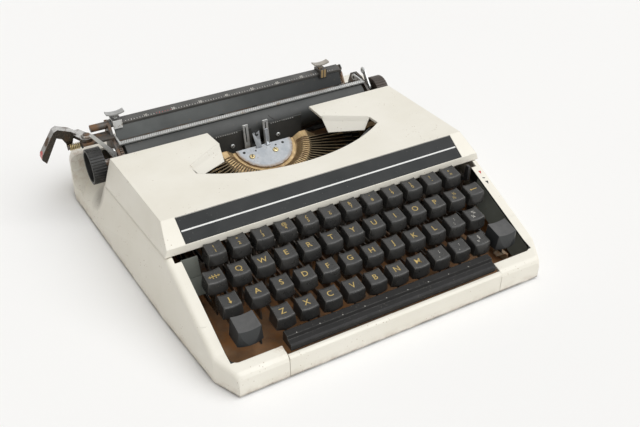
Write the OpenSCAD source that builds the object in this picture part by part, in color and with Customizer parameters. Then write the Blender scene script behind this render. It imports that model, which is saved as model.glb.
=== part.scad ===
// Portable typewriter: moulded body, lift-up ribbon cover, four-row keyboard,
// slotted type segment and a carriage that slides across the back.
// Modelled from the front edge back and the table up, then centred on its box.

/* [Keyboard] */
// Sideways pitch of the keys in a row
key_pitch = 19.05; // [18.5:0.05:19.5]
// Front to back pitch of the key rows
row_pitch = 20.2; // [19.6:0.1:21]
// Height step from one key row to the next
row_rise = 7.7; // [7:0.1:8.4]
// Distance of the front key row from the front edge
front_row_y = 30.5; // [29:0.5:33]
// Height of the front row's key tops above the table
front_row_z = 34.4; // [33.5:0.1:36]
// Width of a key cap
key_w = 14.2; // [13:0.1:14.6]
// Depth of a key cap
key_d = 13.4; // [12.5:0.1:14]
// Height of a key cap
key_h = 11; // [10:0.1:11.5]
// Width of a shift key cap
shift_w = 18; // [16:0.5:19]
// Depth of a shift key cap
shift_d = 16; // [14:0.5:17]
// Length of the space bar
space_w = 176; // [160:1:178]
// Depth of the space bar
space_d = 13; // [11:0.5:14]
// Thickness of a key lever
lever_t = 1.2; // [1:0.1:1.4]
// Height of a key lever
lever_h = 5; // [4:0.1:5.5]
// Radius of the shaft that carries the key levers
key_shaft_r = 2.5; // [2:0.1:3]

/* [Body] */
// Gap between the body's lower edge and the table
foot_h = 2; // [1.5:0.1:4]
// Wall of the body and the cover
wall = 2.2; // [1.8:0.1:2.6]
// Width of the arms beside the keyboard
arm_w = 10; // [8:0.5:12]
// Depth of the front blocks
block_d = 11; // [9:0.5:12]
// Height of the front edge
front_z = 20; // [18:0.5:22]
// Space from the outer keys to the arms
well_side = 24.7; // [24:0.1:28]
// Flare of the lower edge at the cover's front
flare_front = 8.5; // [6:0.5:10]
// Flare of the lower edge at the back corner
flare_rear = 21.5; // [16:0.5:24]
// Depth of the body behind the platen's axis
rear_d = 58.5; // [56:0.5:64]
// Height of the deck behind the carriage
deck_z = 45; // [43:0.5:47]

/* [Cover] */
// Depth of the ribbon cover
cover_d = 135; // [132:0.5:140]
// Height of the cover's front edge above the table
cover_front_z = 73.5; // [72:0.5:77]
// Drop of the cover's top towards the carriage
cover_drop = 7.8; // [5:0.1:9]
// Overhang of the cover's top beyond the key well
cover_side = 4.5; // [3:0.5:5.5]
// Sideways slope of the cover's sides
cover_slope = 0.33; // [0.28:0.01:0.36]
// Rise of the band on the cover's sloping front
band_rise = 12; // [10:0.5:14]
// Depth of the cover's sloping front
band_d = 20; // [16:0.5:22]
// Height of the plain lip under the band
lip_h = 7; // [6:0.5:8]
// Half width of the crescent opening
horn_half = 85; // [80:1:90]
// Half width of the gap behind the crescent
gap_half = 50.5; // [48:0.5:56]

/* [Type basket] */
// Radius of the face plate on the segment
plate_r = 27; // [25:0.5:28]
// Outer radius of the slotted segment
segment_r = 54; // [50:1:56]
// Tilt of the segment
segment_tilt = 18; // [16:0.5:19]
// Number of type bars on each side of the middle one
bars_each_side = 22; // [16:1:22]
// Thickness of a type bar
bar_t = 0.9; // [0.7:0.05:1]
// Width of a slot in the segment
slot_w = 1.3; // [1.2:0.05:1.5]
// Length of a type bar from its pivot to its end
bar_len = 51.5; // [50.5:0.5:52]

/* [Carriage] */
// Radius of the platen
platen_r = 15; // [14:0.1:15.5]
// Gap between the platen and the carriage's end plates
platen_side = 5; // [4.5:0.5:8]
// Radius of the platen's shaft
platen_shaft_r = 3; // [2.5:0.1:4]
// Height of the platen's axis above the table
platen_z = 48; // [47:0.5:50]
// Gap between the cover and the platen
platen_gap = 9; // [8:0.5:11]
// Radius of a platen knob
knob_r = 15.5; // [14:0.1:16]
// Length of a platen knob
knob_len = 12; // [10:0.5:14]
// Distance between the carriage's end plates
carriage_w = 246; // [244:1:250]
// Thickness of the carriage's end plates
end_t = 2.5; // [2:0.1:3]
// Reach of the return lever past the carriage's end
lever_reach = 38.3; // [36:0.1:40]

/* [Fits] */
// Running clearance of a shaft in its hole
run_c = 0.05; // [0.02:0.01:0.1]
// Gap between sliding or separate pieces
slide_c = 0.3; // [0.2:0.05:0.4]

/* [Hidden] */
$fn = 48;

// Colours of the finishes
cream = [0.89, 0.86, 0.78];
charcoal = [0.16, 0.16, 0.17];
black = [0.09, 0.09, 0.10];
zinc = [0.66, 0.67, 0.68];
bronze = [0.60, 0.43, 0.22];
steel = [0.50, 0.50, 0.50];
chrome = [0.82, 0.82, 0.84];
rubber = [0.13, 0.13, 0.13];

// Key rows, counted from the back: quarter pitches of stagger and number of keys
row_quarters = [0, 2, 3, 5];
row_count = [12, 11, 11, 10];
lead_row = 1;
lead_index = 5;
row_x = -(row_count[0] - 1) / 2 * key_pitch;
function key_x(row, k) = row_x + row_quarters[row] * key_pitch / 4 + k * key_pitch;
function key_y(row) = front_row_y + (3 - row) * row_pitch;
function key_z(row) = front_row_z + (3 - row) * row_rise;

// Plan of the body, from the front edge back
well_half = -row_x + well_side;
arm_half = well_half + arm_w;
cover_half = well_half + cover_side;
corner_cut = 10;
corner_y = 21;
rear_lean = 1.5;
lip_y = key_y(0) + key_d / 2 + 1;
cover_rear_y = lip_y + cover_d;
platen_y = cover_rear_y + platen_gap + platen_r;
body_d = platen_y + rear_d;
rear_corner_y = body_d - 31;
strip_half = space_w / 2 + 3.5;
lip_z = cover_front_z - band_rise - lip_h;
seam_front = [lip_y + 6, lip_z];
seam_rear = [cover_rear_y, lip_z - 14];
dip_front = platen_y - 17;
dip_rear = platen_y + 31;
dip_z = 27;

// Half width of the body's lower edge and of its upper edge
function foot_half(y) =
    y < corner_y ? arm_half - corner_cut * (1 - y / corner_y)
    : y < lip_y ? arm_half + flare_front * (y - corner_y) / (lip_y - corner_y)
    : arm_half + flare_front + (flare_rear - flare_front) * (y - lip_y) / (rear_corner_y - lip_y);
function seam_z(y) =
    seam_front[1] + (seam_rear[1] - seam_front[1]) * (y - seam_front[0]) / (seam_rear[0] - seam_front[0]);
function cover_half_at(z) = cover_half + (cover_front_z - z) * cover_slope;
function body_z(y) =
    y < corner_y ? front_z + 4.5 * y / corner_y
    : y < lip_y ? front_z + 4.5 + (lip_z - front_z - 4.5) * (y - corner_y) / (lip_y - corner_y)
    : y < platen_y ? seam_z(max(y, seam_front[0]))
    : deck_z;
function rim_half(y) =
    y < corner_y ? foot_half(y)
    : y < lip_y ? arm_half + (cover_half_at(lip_z) - arm_half) * (y - corner_y) / (lip_y - corner_y)
    : y < rear_corner_y ? cover_half_at(body_z(y))
    : foot_half(y) - rear_lean;

// Key levers: one shaft under the segment, arms rising towards the front row
ful_y = cover_rear_y - 21;
ful_z = 14;
boss_r = key_shaft_r + 2;
lever_front_z = front_row_z - key_h - lever_h / 2 - 0.4;
function lever_z(y) = ful_z + (lever_front_z - ful_z) * (ful_y - y) / (ful_y - front_row_y);
frame_half = arm_half - 6;
frame_t = 1.6;
comb_y = lip_y + 14;
space_y = space_d / 2 + 4.5;
space_z = front_row_z - 4.5;

// Segment: frame of its face plate, and the type bars' pivots
segment_y = cover_rear_y - 5;
segment_z = platen_z - 6.5;
pivot_r = 37;
pivot_h = 3;
bar_span = 156;
bar_step = bar_span / (2 * bars_each_side);
pin_r = 0.8;
rest_up = 9;

// Carriage: rail below, truck on it, frame above
rail_y = platen_y + 8;
rail_z = 26.5;
rail_d = 8;
rail_h = 6;
post_x = 17;
post_y = platen_y + 24;
post_r = 3;
rack_z = rail_z + 7.5;
wheel_teeth = 16;
wheel_r = 8;
tooth_pitch = 2 * PI * wheel_r / wheel_teeth;
end_half = carriage_w / 2 + end_t;
platen_len = carriage_w - 2 * platen_side;
knob_left = end_half + 12.5;
knob_right = end_half + 7;
margin_y = platen_y + 20;
margin_z = platen_z + 25;
lever_x = -end_half - 20;
lever_tip = lever_x - lever_reach;

// The finished part stands centred on its box
mid_x = (foot_half(rear_corner_y) + lever_tip) / 2;
module placed() translate([-mid_x, -body_d / 2, 0]) children();

// A plate in the side plane: its outline is given as front to back and height
module side_plate(x, t) translate([x - t / 2, 0, 0]) rotate([90, 0, 90]) linear_extrude(t) children();
// A prism along the depth: its outline is given as sideways and height
module depth_plate(y0, y1) translate([0, y1, 0]) rotate([90, 0, 0]) linear_extrude(y1 - y0) children();
module both_sides() {
    children();
    mirror([1, 0, 0]) children();
}
module x_rod(x0, x1, y, z, r) translate([x0, y, z]) rotate([0, 90, 0]) cylinder(r = r, h = x1 - x0);
module y_rod(x, y0, y1, z, r) translate([x, y0, z]) rotate([-90, 0, 0]) cylinder(r = r, h = y1 - y0);

// Loft through closed outlines with equal point counts
module loft(rings) {
    n = len(rings[0]);
    m = len(rings);
    points = [for (r = rings) for (p = r) p];
    sides = [for (i = [0:m - 2]) for (j = [0:n - 1])
        let (a = i * n + j, b = i * n + (j + 1) % n) each [[a, b, b + n], [a, b + n, a + n]]];
    caps = [[for (j = [n - 1:-1:0]) j], [for (j = [0:n - 1]) (m - 1) * n + j]];
    polyhedron(points, concat(sides, caps));
}

// Body
edge_r = 4;
rear_edge_r = 8;
edge_steps = 4;
// Outline across the body at one depth, with rounded upper edges
function body_ring(y, foot, rim, z0, z1, r) =
    let (edge = [for (i = [0:edge_steps]) let (a = 90 * i / edge_steps)
        [rim - r + r * cos(a), z1 - r + r * sin(a)]])
    concat([[foot, y, z0]], [for (p = edge) [p[0], y, p[1]]],
        [for (i = [edge_steps:-1:0]) [-edge[i][0], y, edge[i][1]]], [[-foot, y, z0]]);

module body_outer(inset, z0) {
    nose = [0, 1.2, 4];
    nose_drop = [3.5, 1.2, 0];
    stations = [corner_y, (corner_y + lip_y) / 2, lip_y, seam_front[0], platen_y - 10, platen_y,
        rear_corner_y];
    tail = [[12, 1.2], [22, 5], [28, 10], [31, 17]];
    r = max(edge_r - inset, 1);
    rear_r = rear_edge_r - inset;
    rings = concat(
        [for (i = [0:2]) let (y = nose[i]) body_ring(y + inset, foot_half(y) - inset, rim_half(y)
            - inset, z0,
            body_z(y) - nose_drop[i] - inset, r)],
        [for (y = stations) body_ring(min(y, body_d - inset), foot_half(y) - inset, rim_half(y) - inset, z0,
            body_z(y) - inset, y < rear_corner_y ? r : rear_r)],
        [for (t = tail) body_ring(rear_corner_y + t[0] - inset, foot_half(rear_corner_y) - t[1] - inset,
            rim_half(rear_corner_y) - t[1] - inset, z0, deck_z - t[1] * 0.25 - inset, rear_r)]);
    loft(rings);
}
module plan_cut(z0, z1) translate([0, 0, z0]) linear_extrude(z1 - z0) children();
module well_plan() {
    translate([-well_half, block_d + 6]) square([2 * well_half, lip_y + 10 - block_d]);
    translate([-well_half + 6, block_d]) square([2 * well_half - 12, 12]);
    both_sides() translate([well_half - 6, block_d + 6]) circle(6);
    translate([-strip_half, -1]) square([2 * strip_half, block_d + 2]);
}
module deck_plan() {
    rim = frame_half + frame_t / 2 + slide_c;
    polygon([[-rim, lip_y - 5], [rim, lip_y - 5], [rim, dip_rear - 2], [-rim, dip_rear - 2]]);
}
module knob_dip() {
    side_plate(0, 500) {
        polygon([[dip_front + 3, dip_z], [dip_rear - 3, dip_z], [dip_rear, dip_z + 4], [dip_rear, 90],
            [dip_front, 90], [dip_front, dip_z + 4]]);
    }
}
// Hollow in each side for the fingers that turn a knob: a ramp with a rounded back corner
scoop_half = frame_half + 4;
scoop_front = dip_front - 2;
scoop_slope = 41;
scoop_r = 17;
module scoop(grow) both_sides() intersection() {
    depth_plate(scoop_front - grow, dip_rear + 20) polygon([[scoop_half - grow,
        dip_z - grow / cos(scoop_slope)],
        [200, dip_z - (200 - scoop_half) * tan(scoop_slope) - grow / cos(scoop_slope)], [200, 90],
        [scoop_half - grow, 90]]);
    side_plate(170, 100) polygon(concat([[scoop_front - grow, 90], [scoop_front - grow, -60]],
        [[dip_rear - 1 - scoop_r, dip_z - scoop_r - grow - 30]],
        [for (i = [0:6]) let (a = 15 * i - 90, r = scoop_r + grow)
            [dip_rear - 1 - scoop_r + r * cos(a), dip_z + r * sin(a)]], [[dip_rear - 1 + grow, 90]]));
}
// Wall that closes the arms towards the keyboard
flange_t = 1.8;
flange_h = 14;
module arm_flange() both_sides() side_plate(well_half + flange_t / 2, flange_t) polygon([[block_d,
    body_z(block_d)],
    [lip_y, lip_z], [lip_y, lip_z - flange_h], [block_d, body_z(block_d) - flange_h]]);
// Bosses for the pan's screws: one in each arm and one in each back corner
screw_r = 1.7;
boss_side = 3.6;
pan_points = [for (sx = [-1, 1]) for (y = [46, rear_corner_y + 10]) [sx * (arm_half - 5), y]];
module screw_bosses() for (p = pan_points) translate([p[0], p[1], pan_z + pan_t])
    cylinder(r = boss_side, h = body_z(p[1]) - wall / 2 - pan_z - pan_t);
module body_shell() color(cream) placed() difference() {
    union() {
        difference() {
            body_outer(0, foot_h);
            scoop(0);
            difference() {
                body_outer(wall, foot_h - 1);
                arm_flange();
                scoop(wall);
            }
            plan_cut(foot_h - 1, 90) well_plan();
            plan_cut(foot_h + 8, 90) deck_plan();
            knob_dip();
        }
        screw_bosses();
    }
    for (p = pan_points) translate([p[0], p[1], 0]) cylinder(r = screw_r, h = screw_len + pan_z + 1);
}
module front_strip() color(cream) placed() {
    half = strip_half - slide_c;
    translate([-half, 0, foot_h]) cube([2 * half, wall, front_z - 1.5 - foot_h]);
    side_plate(0, 2 * half) polygon([[0, front_z - 1.5], [1.5, front_z], [wall + 1.3, front_z + 0.4],
        [wall + 1.3, front_z - 1.5]]);
}

// Ribbon cover
band_low = [lip_y + 0.4, lip_z + lip_h];
band_top = [lip_y + 0.4 + band_d, cover_front_z];
hinge_y = cover_rear_y - 4;
hinge_z = cover_front_z - cover_drop - 6;
hinge_r = 2;
seam_gap = 1;
module cover_outline(inset, drop) {
    rear_z = cover_front_z - cover_drop;
    low = seam_gap - drop;
    polygon([[lip_y + inset, lip_z + low], [band_low[0] + inset, band_low[1] - inset * 0.5],
        [band_top[0] + inset * 0.6, band_top[1] - inset], [cover_rear_y + drop, rear_z - inset],
        [cover_rear_y + drop, seam_rear[1] + low], [seam_front[0], seam_front[1] + low]]);
}
module cover_width(inset) {
    top = cover_half_at(cover_front_z) - inset;
    low = cover_half_at(20) - inset;
    polygon([[-low, 20], [low, 20], [top, cover_front_z], [-top, cover_front_z]]);
}
module cover_block(inset, drop) intersection() {
    side_plate(0, 400) cover_outline(inset, drop);
    depth_plate(lip_y - 5, cover_rear_y + 5) cover_width(inset);
}
// Opening in plan: a shallow arc in front, two horns and a gap to the carriage
horn_y = cover_rear_y - 49;
crease_y = cover_rear_y - 24.5;
crease_x = gap_half - 1.5;
fold_in = 0.5;
module crescent_plan() {
    arc_y = cover_rear_y - 91;
    sag = horn_y - 13 - arc_y;
    arc_r = (horn_half * horn_half + sag * sag) / (2 * sag);
    intersection() {
        translate([0, arc_y + arc_r]) circle(arc_r, $fn = 180);
        polygon([[-horn_half, horn_y], [-crease_x, crease_y], [-gap_half, cover_rear_y + 10],
            [gap_half, cover_rear_y + 10], [crease_x, crease_y], [horn_half, horn_y],
            [horn_half, arc_y - 5], [-horn_half, arc_y - 5]]);
    }
}
// Flange that folds down from a horn's front edge towards the type bars
function cover_top_z(y) = cover_front_z - cover_drop * (y - band_top[0]) / (cover_rear_y - band_top[0]);
module horn_flange() {
    a = [crease_x, crease_y, cover_top_z(crease_y)];
    b = [horn_half, horn_y, cover_top_z(horn_y)];
    along = (a - b) / norm(a - b);
    down = [-3, -8.5, -10.5];
    face = cross(along, down) / norm(cross(along, down));
    edge = [a, b, b + 0.85 * down + 6 * along, a + 1.05 * down - 5 * along];
    loft([for (depth = [fold_in + wall, fold_in]) [for (q = edge) q - depth * face]]);
}
band_t = 0.8;
// The band lies in a shallow recess on the sloping front
module band_space(grow, t) {
    run = band_top[0] - band_low[0];
    rise = band_top[1] - band_low[1];
    len = norm([run, rise]);
    half = cover_half - 11 + grow;
    translate([0, band_low[0], band_low[1]]) rotate([atan2(rise, run), 0, 0])
        translate([-half, 0.6 - grow, -t]) cube([2 * half, len - 1.2 + 2 * grow, t + grow]);
}
module ribbon_cover() color(cream) placed() {
    difference() {
        cover_block(0, 0);
        cover_block(wall, 1);
        plan_cut(20, 90) crescent_plan();
        band_space(slide_c / 2, band_t);
    }
    both_sides() horn_flange();
    // Hinge lugs under the top, one at each back corner
    both_sides() difference() {
        side_plate(frame_half - 7, 4) {
            translate([hinge_y, hinge_z]) circle(4);
            translate([hinge_y - 4, hinge_z]) square([8, 4.2]);
        }
        x_rod(frame_half - 12, frame_half, hinge_y, hinge_z, hinge_r + run_c);
    }
}
module cover_band() color(charcoal) placed() band_space(0, band_t);

// Base
pan_t = 1.4;
pan_z = foot_h + 0.6;
foot_pad_h = foot_h + 0.6;
screw_len = 8;
module pan_plan(inset) polygon([for (side = [1, -1]) for (i = [0:5])
    let (ys = [4, corner_y, lip_y, platen_y, rear_corner_y, body_d - 12], k = side > 0 ? i : 5 - i,
        y = ys[k])
    [side * (min(foot_half(y), foot_half(rear_corner_y) - (k == 5 ? 12 : 0)) - inset), y]]);
module base_pan() color([0.30, 0.22, 0.16]) placed() difference() {
    plan_cut(pan_z, pan_z + pan_t) pan_plan(wall + 1.5);
    for (p = pan_points) translate([p[0], p[1], 0]) cylinder(r = screw_r, h = 20);
}
foot_points = [for (sx = [-1, 1]) for (y = [24, rear_corner_y + 8]) [sx * (arm_half - 26), y]];
module feet() color(rubber) placed() for (p = foot_points) translate([p[0], p[1], 0]) {
    cylinder(r1 = 6, r2 = 7, h = foot_pad_h);
}
module pan_screws() color(steel) placed() for (p = pan_points) translate([p[0], p[1], 0]) {
    translate([0, 0, pan_z - 0.9]) cylinder(r = 3, h = 0.9);
    translate([0, 0, pan_z]) cylinder(r = screw_r - run_c, h = screw_len);
}

// Mechanism frames
lane_step = 3.7;
lane_left = [row_x + key_pitch / 6, row_x - 2 * lane_step, row_x - 3 * lane_step];
lane_right = [-row_x + key_pitch / 4, -row_x + key_pitch / 2];
spool_y = cover_rear_y - 65;
spool_z = 38;
spool_r = 24;
spool_x = frame_half - spool_r - 2.5;
spool_h = 12;
spool_core_r = 8;
spool_t = 1;
shelf_t = 1.5;
spindle_r = 2.5;
frame_top = 26;
module side_frame() {
    difference() {
        side_plate(frame_half, frame_t) {
            polygon([[comb_y - 6, pan_z + pan_t], [dip_rear - 2, pan_z + pan_t], [dip_rear - 2, frame_top],
                [dip_front - 4, frame_top], [hinge_y + 3.5, hinge_z], [hinge_y - 3.5, hinge_z],
                [hinge_y - 30, spool_z + 8], [spool_y - 20, spool_z], [comb_y - 6, spool_z]]);
            translate([hinge_y, hinge_z]) circle(3.5);
        }
        x_rod(frame_half - 5, frame_half + 5, ful_y, ful_z, key_shaft_r + run_c);
    }
    // Pin for the cover's hinge, and the shelf and spindle of a ribbon spool
    x_rod(frame_half - 10.5, frame_half, hinge_y, hinge_z, hinge_r);
    translate([spool_x - 14, spool_y - 14, spool_z - shelf_t]) cube([frame_half - spool_x + 14, 28,
        shelf_t]);
    translate([spool_x, spool_y, spool_z - shelf_t]) cylinder(r = spindle_r, h = spool_h + 2);
}
module right_frame() color(steel) placed() {
    side_frame();
    x_rod(selector_x - selector_t, frame_half, selector_y, selector_z, selector_pin_r);
}
module left_frame() color(steel) placed() mirror([1, 0, 0]) side_frame();
plate_y = post_y + 5;
wheel_y = post_y + 2 + wheel_r + 1.2;
drum_x = 33.5 - frame_half;
drum_y = plate_y + 4;
drum_z = 22;
drum_r = 15;
drum_w = 12;
drum_lip = 1.2;
stud_r = 2;
bell_x = frame_half - 33.5;
module rear_plate() color(steel) placed() {
    inner = frame_half - frame_t / 2;
    translate([-inner, plate_y, pan_z + pan_t]) cube([2 * inner, 1.6, frame_top - pan_z - pan_t]);
    // Shelf and stud of the escape wheel
    translate([-12, plate_y, frame_top - shelf_t]) cube([24, wheel_y + 10 - plate_y, shelf_t]);
    translate([0, wheel_y, frame_top - shelf_t]) cylinder(r = stud_r,
        h = rack_z + rack_t - frame_top + shelf_t);
    translate([0, wheel_y, frame_top - shelf_t]) cylinder(r = 4,
        h = rack_z - slide_c - frame_top + shelf_t);
    y_rod(drum_x, plate_y + 0.5, drum_y + drum_w + 2, drum_z, stud_r);
    y_rod(bell_x, plate_y + 0.5, drum_y + drum_w, drum_z, stud_r);
}
module key_shaft() color(steel) placed() x_rod(-frame_half - 0.8, frame_half + 0.8, ful_y, ful_z,
    key_shaft_r);

// Lanes of every lever that passes the comb
space_x = [key_x(3, 1) + key_pitch * 3 / 8, key_x(3, 7) + key_pitch * 3 / 8];
lanes = concat([for (r = [0:3]) for (k = [0:row_count[r] - 1]) key_x(r, k)], lane_left, lane_right,
    space_x);
module key_comb() color(zinc) placed() difference() {
    inner = frame_half - frame_t / 2;
    translate([-inner, comb_y, pan_z + pan_t]) cube([2 * inner, 2, 24]);
    for (x = lanes) translate([x - lever_t / 2 - 0.4, comb_y - 1, pan_z + pan_t + 1])
        cube([lever_t + 0.8, 4, 40]);
}

// Keys
// Cap with tapered sides, a bowed front and a dished, forward sloping top
module key_cap(w, d, h) {
    flare = 0.9;
    bow_r = w * 1.1;
    difference() {
        intersection() {
            translate([0, 0, -h]) linear_extrude(h + 3) intersection() {
                square([w + 2 * flare, d + 2 * flare], center = true);
                translate([0, bow_r - d / 2 - flare]) circle(bow_r);
            }
            depth_plate(-d, d) polygon([[-w / 2 - flare, -h], [w / 2 + flare, -h], [w / 2 - flare, 3],
                [-w / 2 + flare, 3]]);
            side_plate(0, 2 * w) polygon([[-d / 2 - flare, -h], [d / 2, -h], [d / 2 - 0.4, 1.4],
                [-d / 2 + flare, -1]]);
        }
        translate([0, 0, w * 1.6 - 0.5]) rotate([90 + 9, 0, 0]) cylinder(r = w * 1.6, h = 3 * d,
            center = true);
    }
}
module caps_of_row(row) color(black) placed() for (k = [0:row_count[row] - 1])
    if (row != lead_row || k != lead_index)
        translate([key_x(row, k), key_y(row), key_z(row)]) key_cap(key_w, key_d, key_h);
module key_caps_1() caps_of_row(0);
module key_caps_2() caps_of_row(1);
module key_caps_3() caps_of_row(2);
module key_caps_4() caps_of_row(3);
module lead_cap() color(black) placed()
    translate([key_x(lead_row, lead_index), key_y(lead_row), key_z(lead_row)]) key_cap(key_w, key_d, key_h);

// Flat lever from the shaft to a cap's underside
module lever_plate(y, low_z) difference() {
    union() {
        polygon([[ful_y, ful_z - lever_h / 2], [ful_y, ful_z + lever_h / 2], [y + 5, lever_z(y + 5)
            + lever_h / 2],
            [y + 3.5, low_z], [y - 3.5, low_z], [y - 4.5, lever_z(y - 4.5) - lever_h / 2]]);
        translate([ful_y, ful_z]) circle(boss_r);
    }
    translate([ful_y, ful_z]) circle(key_shaft_r + run_c);
}
module key_lever(x, y, low_z) side_plate(x, lever_t) lever_plate(y, low_z);
module levers_of_row(row) color(steel) placed() for (k = [0:row_count[row] - 1])
    if (row != lead_row || k != lead_index) key_lever(key_x(row, k), key_y(row), key_z(row) - key_h);
module key_levers_1() levers_of_row(0);
module key_levers_2() levers_of_row(1);
module key_levers_3() levers_of_row(2);
module key_levers_4() levers_of_row(3);
module lead_lever() color(steel) placed()
    key_lever(key_x(lead_row, lead_index), key_y(lead_row), key_z(lead_row) - key_h);

// Function keys: cap and lever in one piece
shift_x = well_half - 19;
shift_y = front_row_y - 3;
shift_z = front_row_z + 5;
module function_key(x, lane, y, z, w, d, h) {
    translate([x, y, z]) key_cap(w, d, h);
    key_lever(lane, y, z - h + 1);
}
module left_shift() color(black) placed()
    function_key(-shift_x, lane_left[0], shift_y, shift_z, shift_w, shift_d, key_h + 3);
module right_shift() color(black) placed()
    function_key(shift_x, lane_right[0], shift_y, shift_z, shift_w, shift_d, key_h + 3);
module shift_lock() color(black) placed()
    function_key(key_x(2, -1) - 2.4, lane_left[1], key_y(2), key_z(2), key_w, key_d, key_h);
module margin_release() color(black) placed()
    function_key(key_x(1, -1), lane_left[2], key_y(1), key_z(1), key_w, key_d, key_h);
module backspace() color(black) placed()
    function_key(key_x(1, row_count[1]), lane_right[1], key_y(1), key_z(1), key_w, key_d, key_h);

// Space bar with its two cranked arms
space_h = 9;
module space_bar() color(black) placed() side_plate(0, space_w) polygon([
    [space_y - space_d / 2, space_z - space_h], [space_y + space_d / 2, space_z - space_h],
    [space_y + space_d / 2 - 0.5, space_z - 1], [space_y + space_d / 2 - 1.8, space_z],
    [space_y - space_d / 2 + 6, space_z - 0.4], [space_y - space_d / 2 + 5, space_z - 3],
    [space_y - space_d / 2 + 1.2, space_z - 4], [space_y - space_d / 2, space_z - 5.2]]);
arm_z = ful_z + 0.5;
jog_y = front_row_y + key_d / 2 + 2.4;
module space_arms() color(steel) placed() for (x = space_x) {
    side_plate(x, lever_t) difference() {
        union() {
            polygon([[ful_y, ful_z - lever_h / 2], [ful_y, ful_z + lever_h / 2], [jog_y,
                arm_z + lever_h / 2],
                [jog_y, arm_z - lever_h / 2]]);
            translate([ful_y, ful_z]) circle(boss_r);
        }
        translate([ful_y, ful_z]) circle(key_shaft_r + run_c);
    }
    shift = key_pitch / 8;
    translate([x - lever_t / 2, jog_y, arm_z - lever_h / 2]) cube([shift + lever_t, 2.4, lever_h]);
    side_plate(x + shift, lever_t) polygon([[jog_y + 2.4, arm_z - lever_h / 2], [jog_y + 2.4,
        arm_z + lever_h / 2],
        [space_y + 4, space_z - space_h], [space_y - 4, space_z - space_h]]);
}
// Lever beside the top row, on a pin in the right side frame
selector_x = well_half - 5;
selector_y = comb_y - 1;
selector_z = spool_z - 4;
selector_t = 2;
selector_pin_r = 1.5;
selector_tip = [key_y(0) + 1, key_z(0) - 0.5];
module color_selector() color(chrome) placed() difference() {
    side_plate(selector_x, selector_t) {
        translate([selector_y, selector_z]) circle(3.2);
        polygon([[selector_y - 2.2, selector_z - 2], [selector_y + 2.2, selector_z + 2],
            [selector_tip[0] + 3, selector_tip[1] - 12], [selector_tip[0] + 1.8, selector_tip[1]],
            [selector_tip[0] - 1.8, selector_tip[1]], [selector_tip[0] - 2, selector_tip[1] - 13]]);
    }
    x_rod(selector_x - 5, selector_x + 5, selector_y, selector_z, selector_pin_r + run_c);
}

// Type basket
// Frame of the segment: its face lies at zero height, the bars fan out to the front
module on_segment() translate([0, segment_y, segment_z]) rotate([segment_tilt, 0, 0]) children();
function bar_angle(i) = i * bar_step;
// A plate that stands on a radius, at an angle from the middle bar
module radial_plate(angle, t) rotate([0, 0, angle - 90]) rotate([90, 0, 0])
    translate([0, 0, -t / 2]) linear_extrude(t) children();
module half_ring() intersection() {
    rotate_extrude($fn = 96) children();
    translate([-100, -100, -50]) cube([200, 100, 100]);
}
plate_t = 1.6;
body_h = 12;
skirt_h = 6.5;
cross_z = segment_z - 22;
cross_h = 12;
cross_back = 5.6;
ridge = [36, 42];
ridge_h = pivot_h + 2.6;
module segment() color(bronze) placed() {
    on_segment() {
        difference() {
            half_ring() polygon([[0, -body_h], [plate_r, -body_h], [segment_r, -skirt_h], [segment_r,
                -4], [ridge[1], ridge_h],
                [ridge[0], ridge_h], [plate_r + 3.2, 0.6], [plate_r + 3.2, 0], [0, 0]]);
            // Slots, each left with the cross pin that its bar turns on
            for (i = [-bars_each_side:bars_each_side]) difference() {
                radial_plate(bar_angle(i), slot_w) translate([pivot_r - 6, pivot_h - 5])
                    square([segment_r, 30]);
                rotate([0, 0, bar_angle(i)]) translate([-slot_w, -pivot_r, pivot_h]) rotate([0, 90, 0])
                    cylinder(r = pin_r, h = 2 * slot_w, $fn = 24);
            }
        }
    }
    // Cross bar that joins the segment to the side frames
    inner = frame_half - frame_t / 2;
    translate([-inner, segment_y - 3, cross_z]) cube([2 * inner, 3 + cross_back, cross_h]);
}
guide_half = 2.6;
guide_w = 3.2;
// Guide posts at the back edge of the plate, leaning away from the bars
module face_plate() color(zinc) placed() on_segment() {
    half_ring() square([plate_r, plate_t]);
    for (s = [-1, 1]) side_plate(s * (guide_half + guide_w / 2), guide_w)
        polygon([[-1.8, 0.4], [0, 0.4], [0, plate_t], [7, 13.5], [5.6, 14.3], [-1.8, plate_t]]);
}
bar_h = 2.6;
slug_h = 6;
slug_len = 7;
// Type bar in its own plane: distance from the segment's middle and height
module type_bar_outline() difference() {
    translate([pivot_r, pivot_h]) rotate(rest_up) {
        circle(2.2);
        translate([0, -bar_h / 2]) square([bar_len, bar_h]);
        translate([bar_len - slug_len, 0]) square([slug_len, slug_h]);
    }
    translate([pivot_r, pivot_h]) circle(pin_r + run_c, $fn = 24);
}
module type_bar(i) on_segment() radial_plate(bar_angle(i), bar_t) type_bar_outline();
module type_bars() color([0.30, 0.27, 0.24]) placed() for (i = [-bars_each_side:bars_each_side])
    if (i != 0) type_bar(i);
module lead_type_bar() color([0.30, 0.27, 0.24]) placed() type_bar(0);
rest_in = pivot_r + bar_len - 13;
rest_h = pivot_h + (rest_in - pivot_r) * tan(rest_up) - bar_h / 2 - 3;
module type_rest() color(black) placed() on_segment() {
    half_ring() translate([rest_in, rest_h]) square([7, 2]);
    for (s = [-1, 1]) translate([s > 0 ? rest_in + 3 : -frame_half + frame_t / 2, -7, rest_h])
        cube([frame_half - frame_t / 2 - rest_in - 3, 7, 2]);
}
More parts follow.
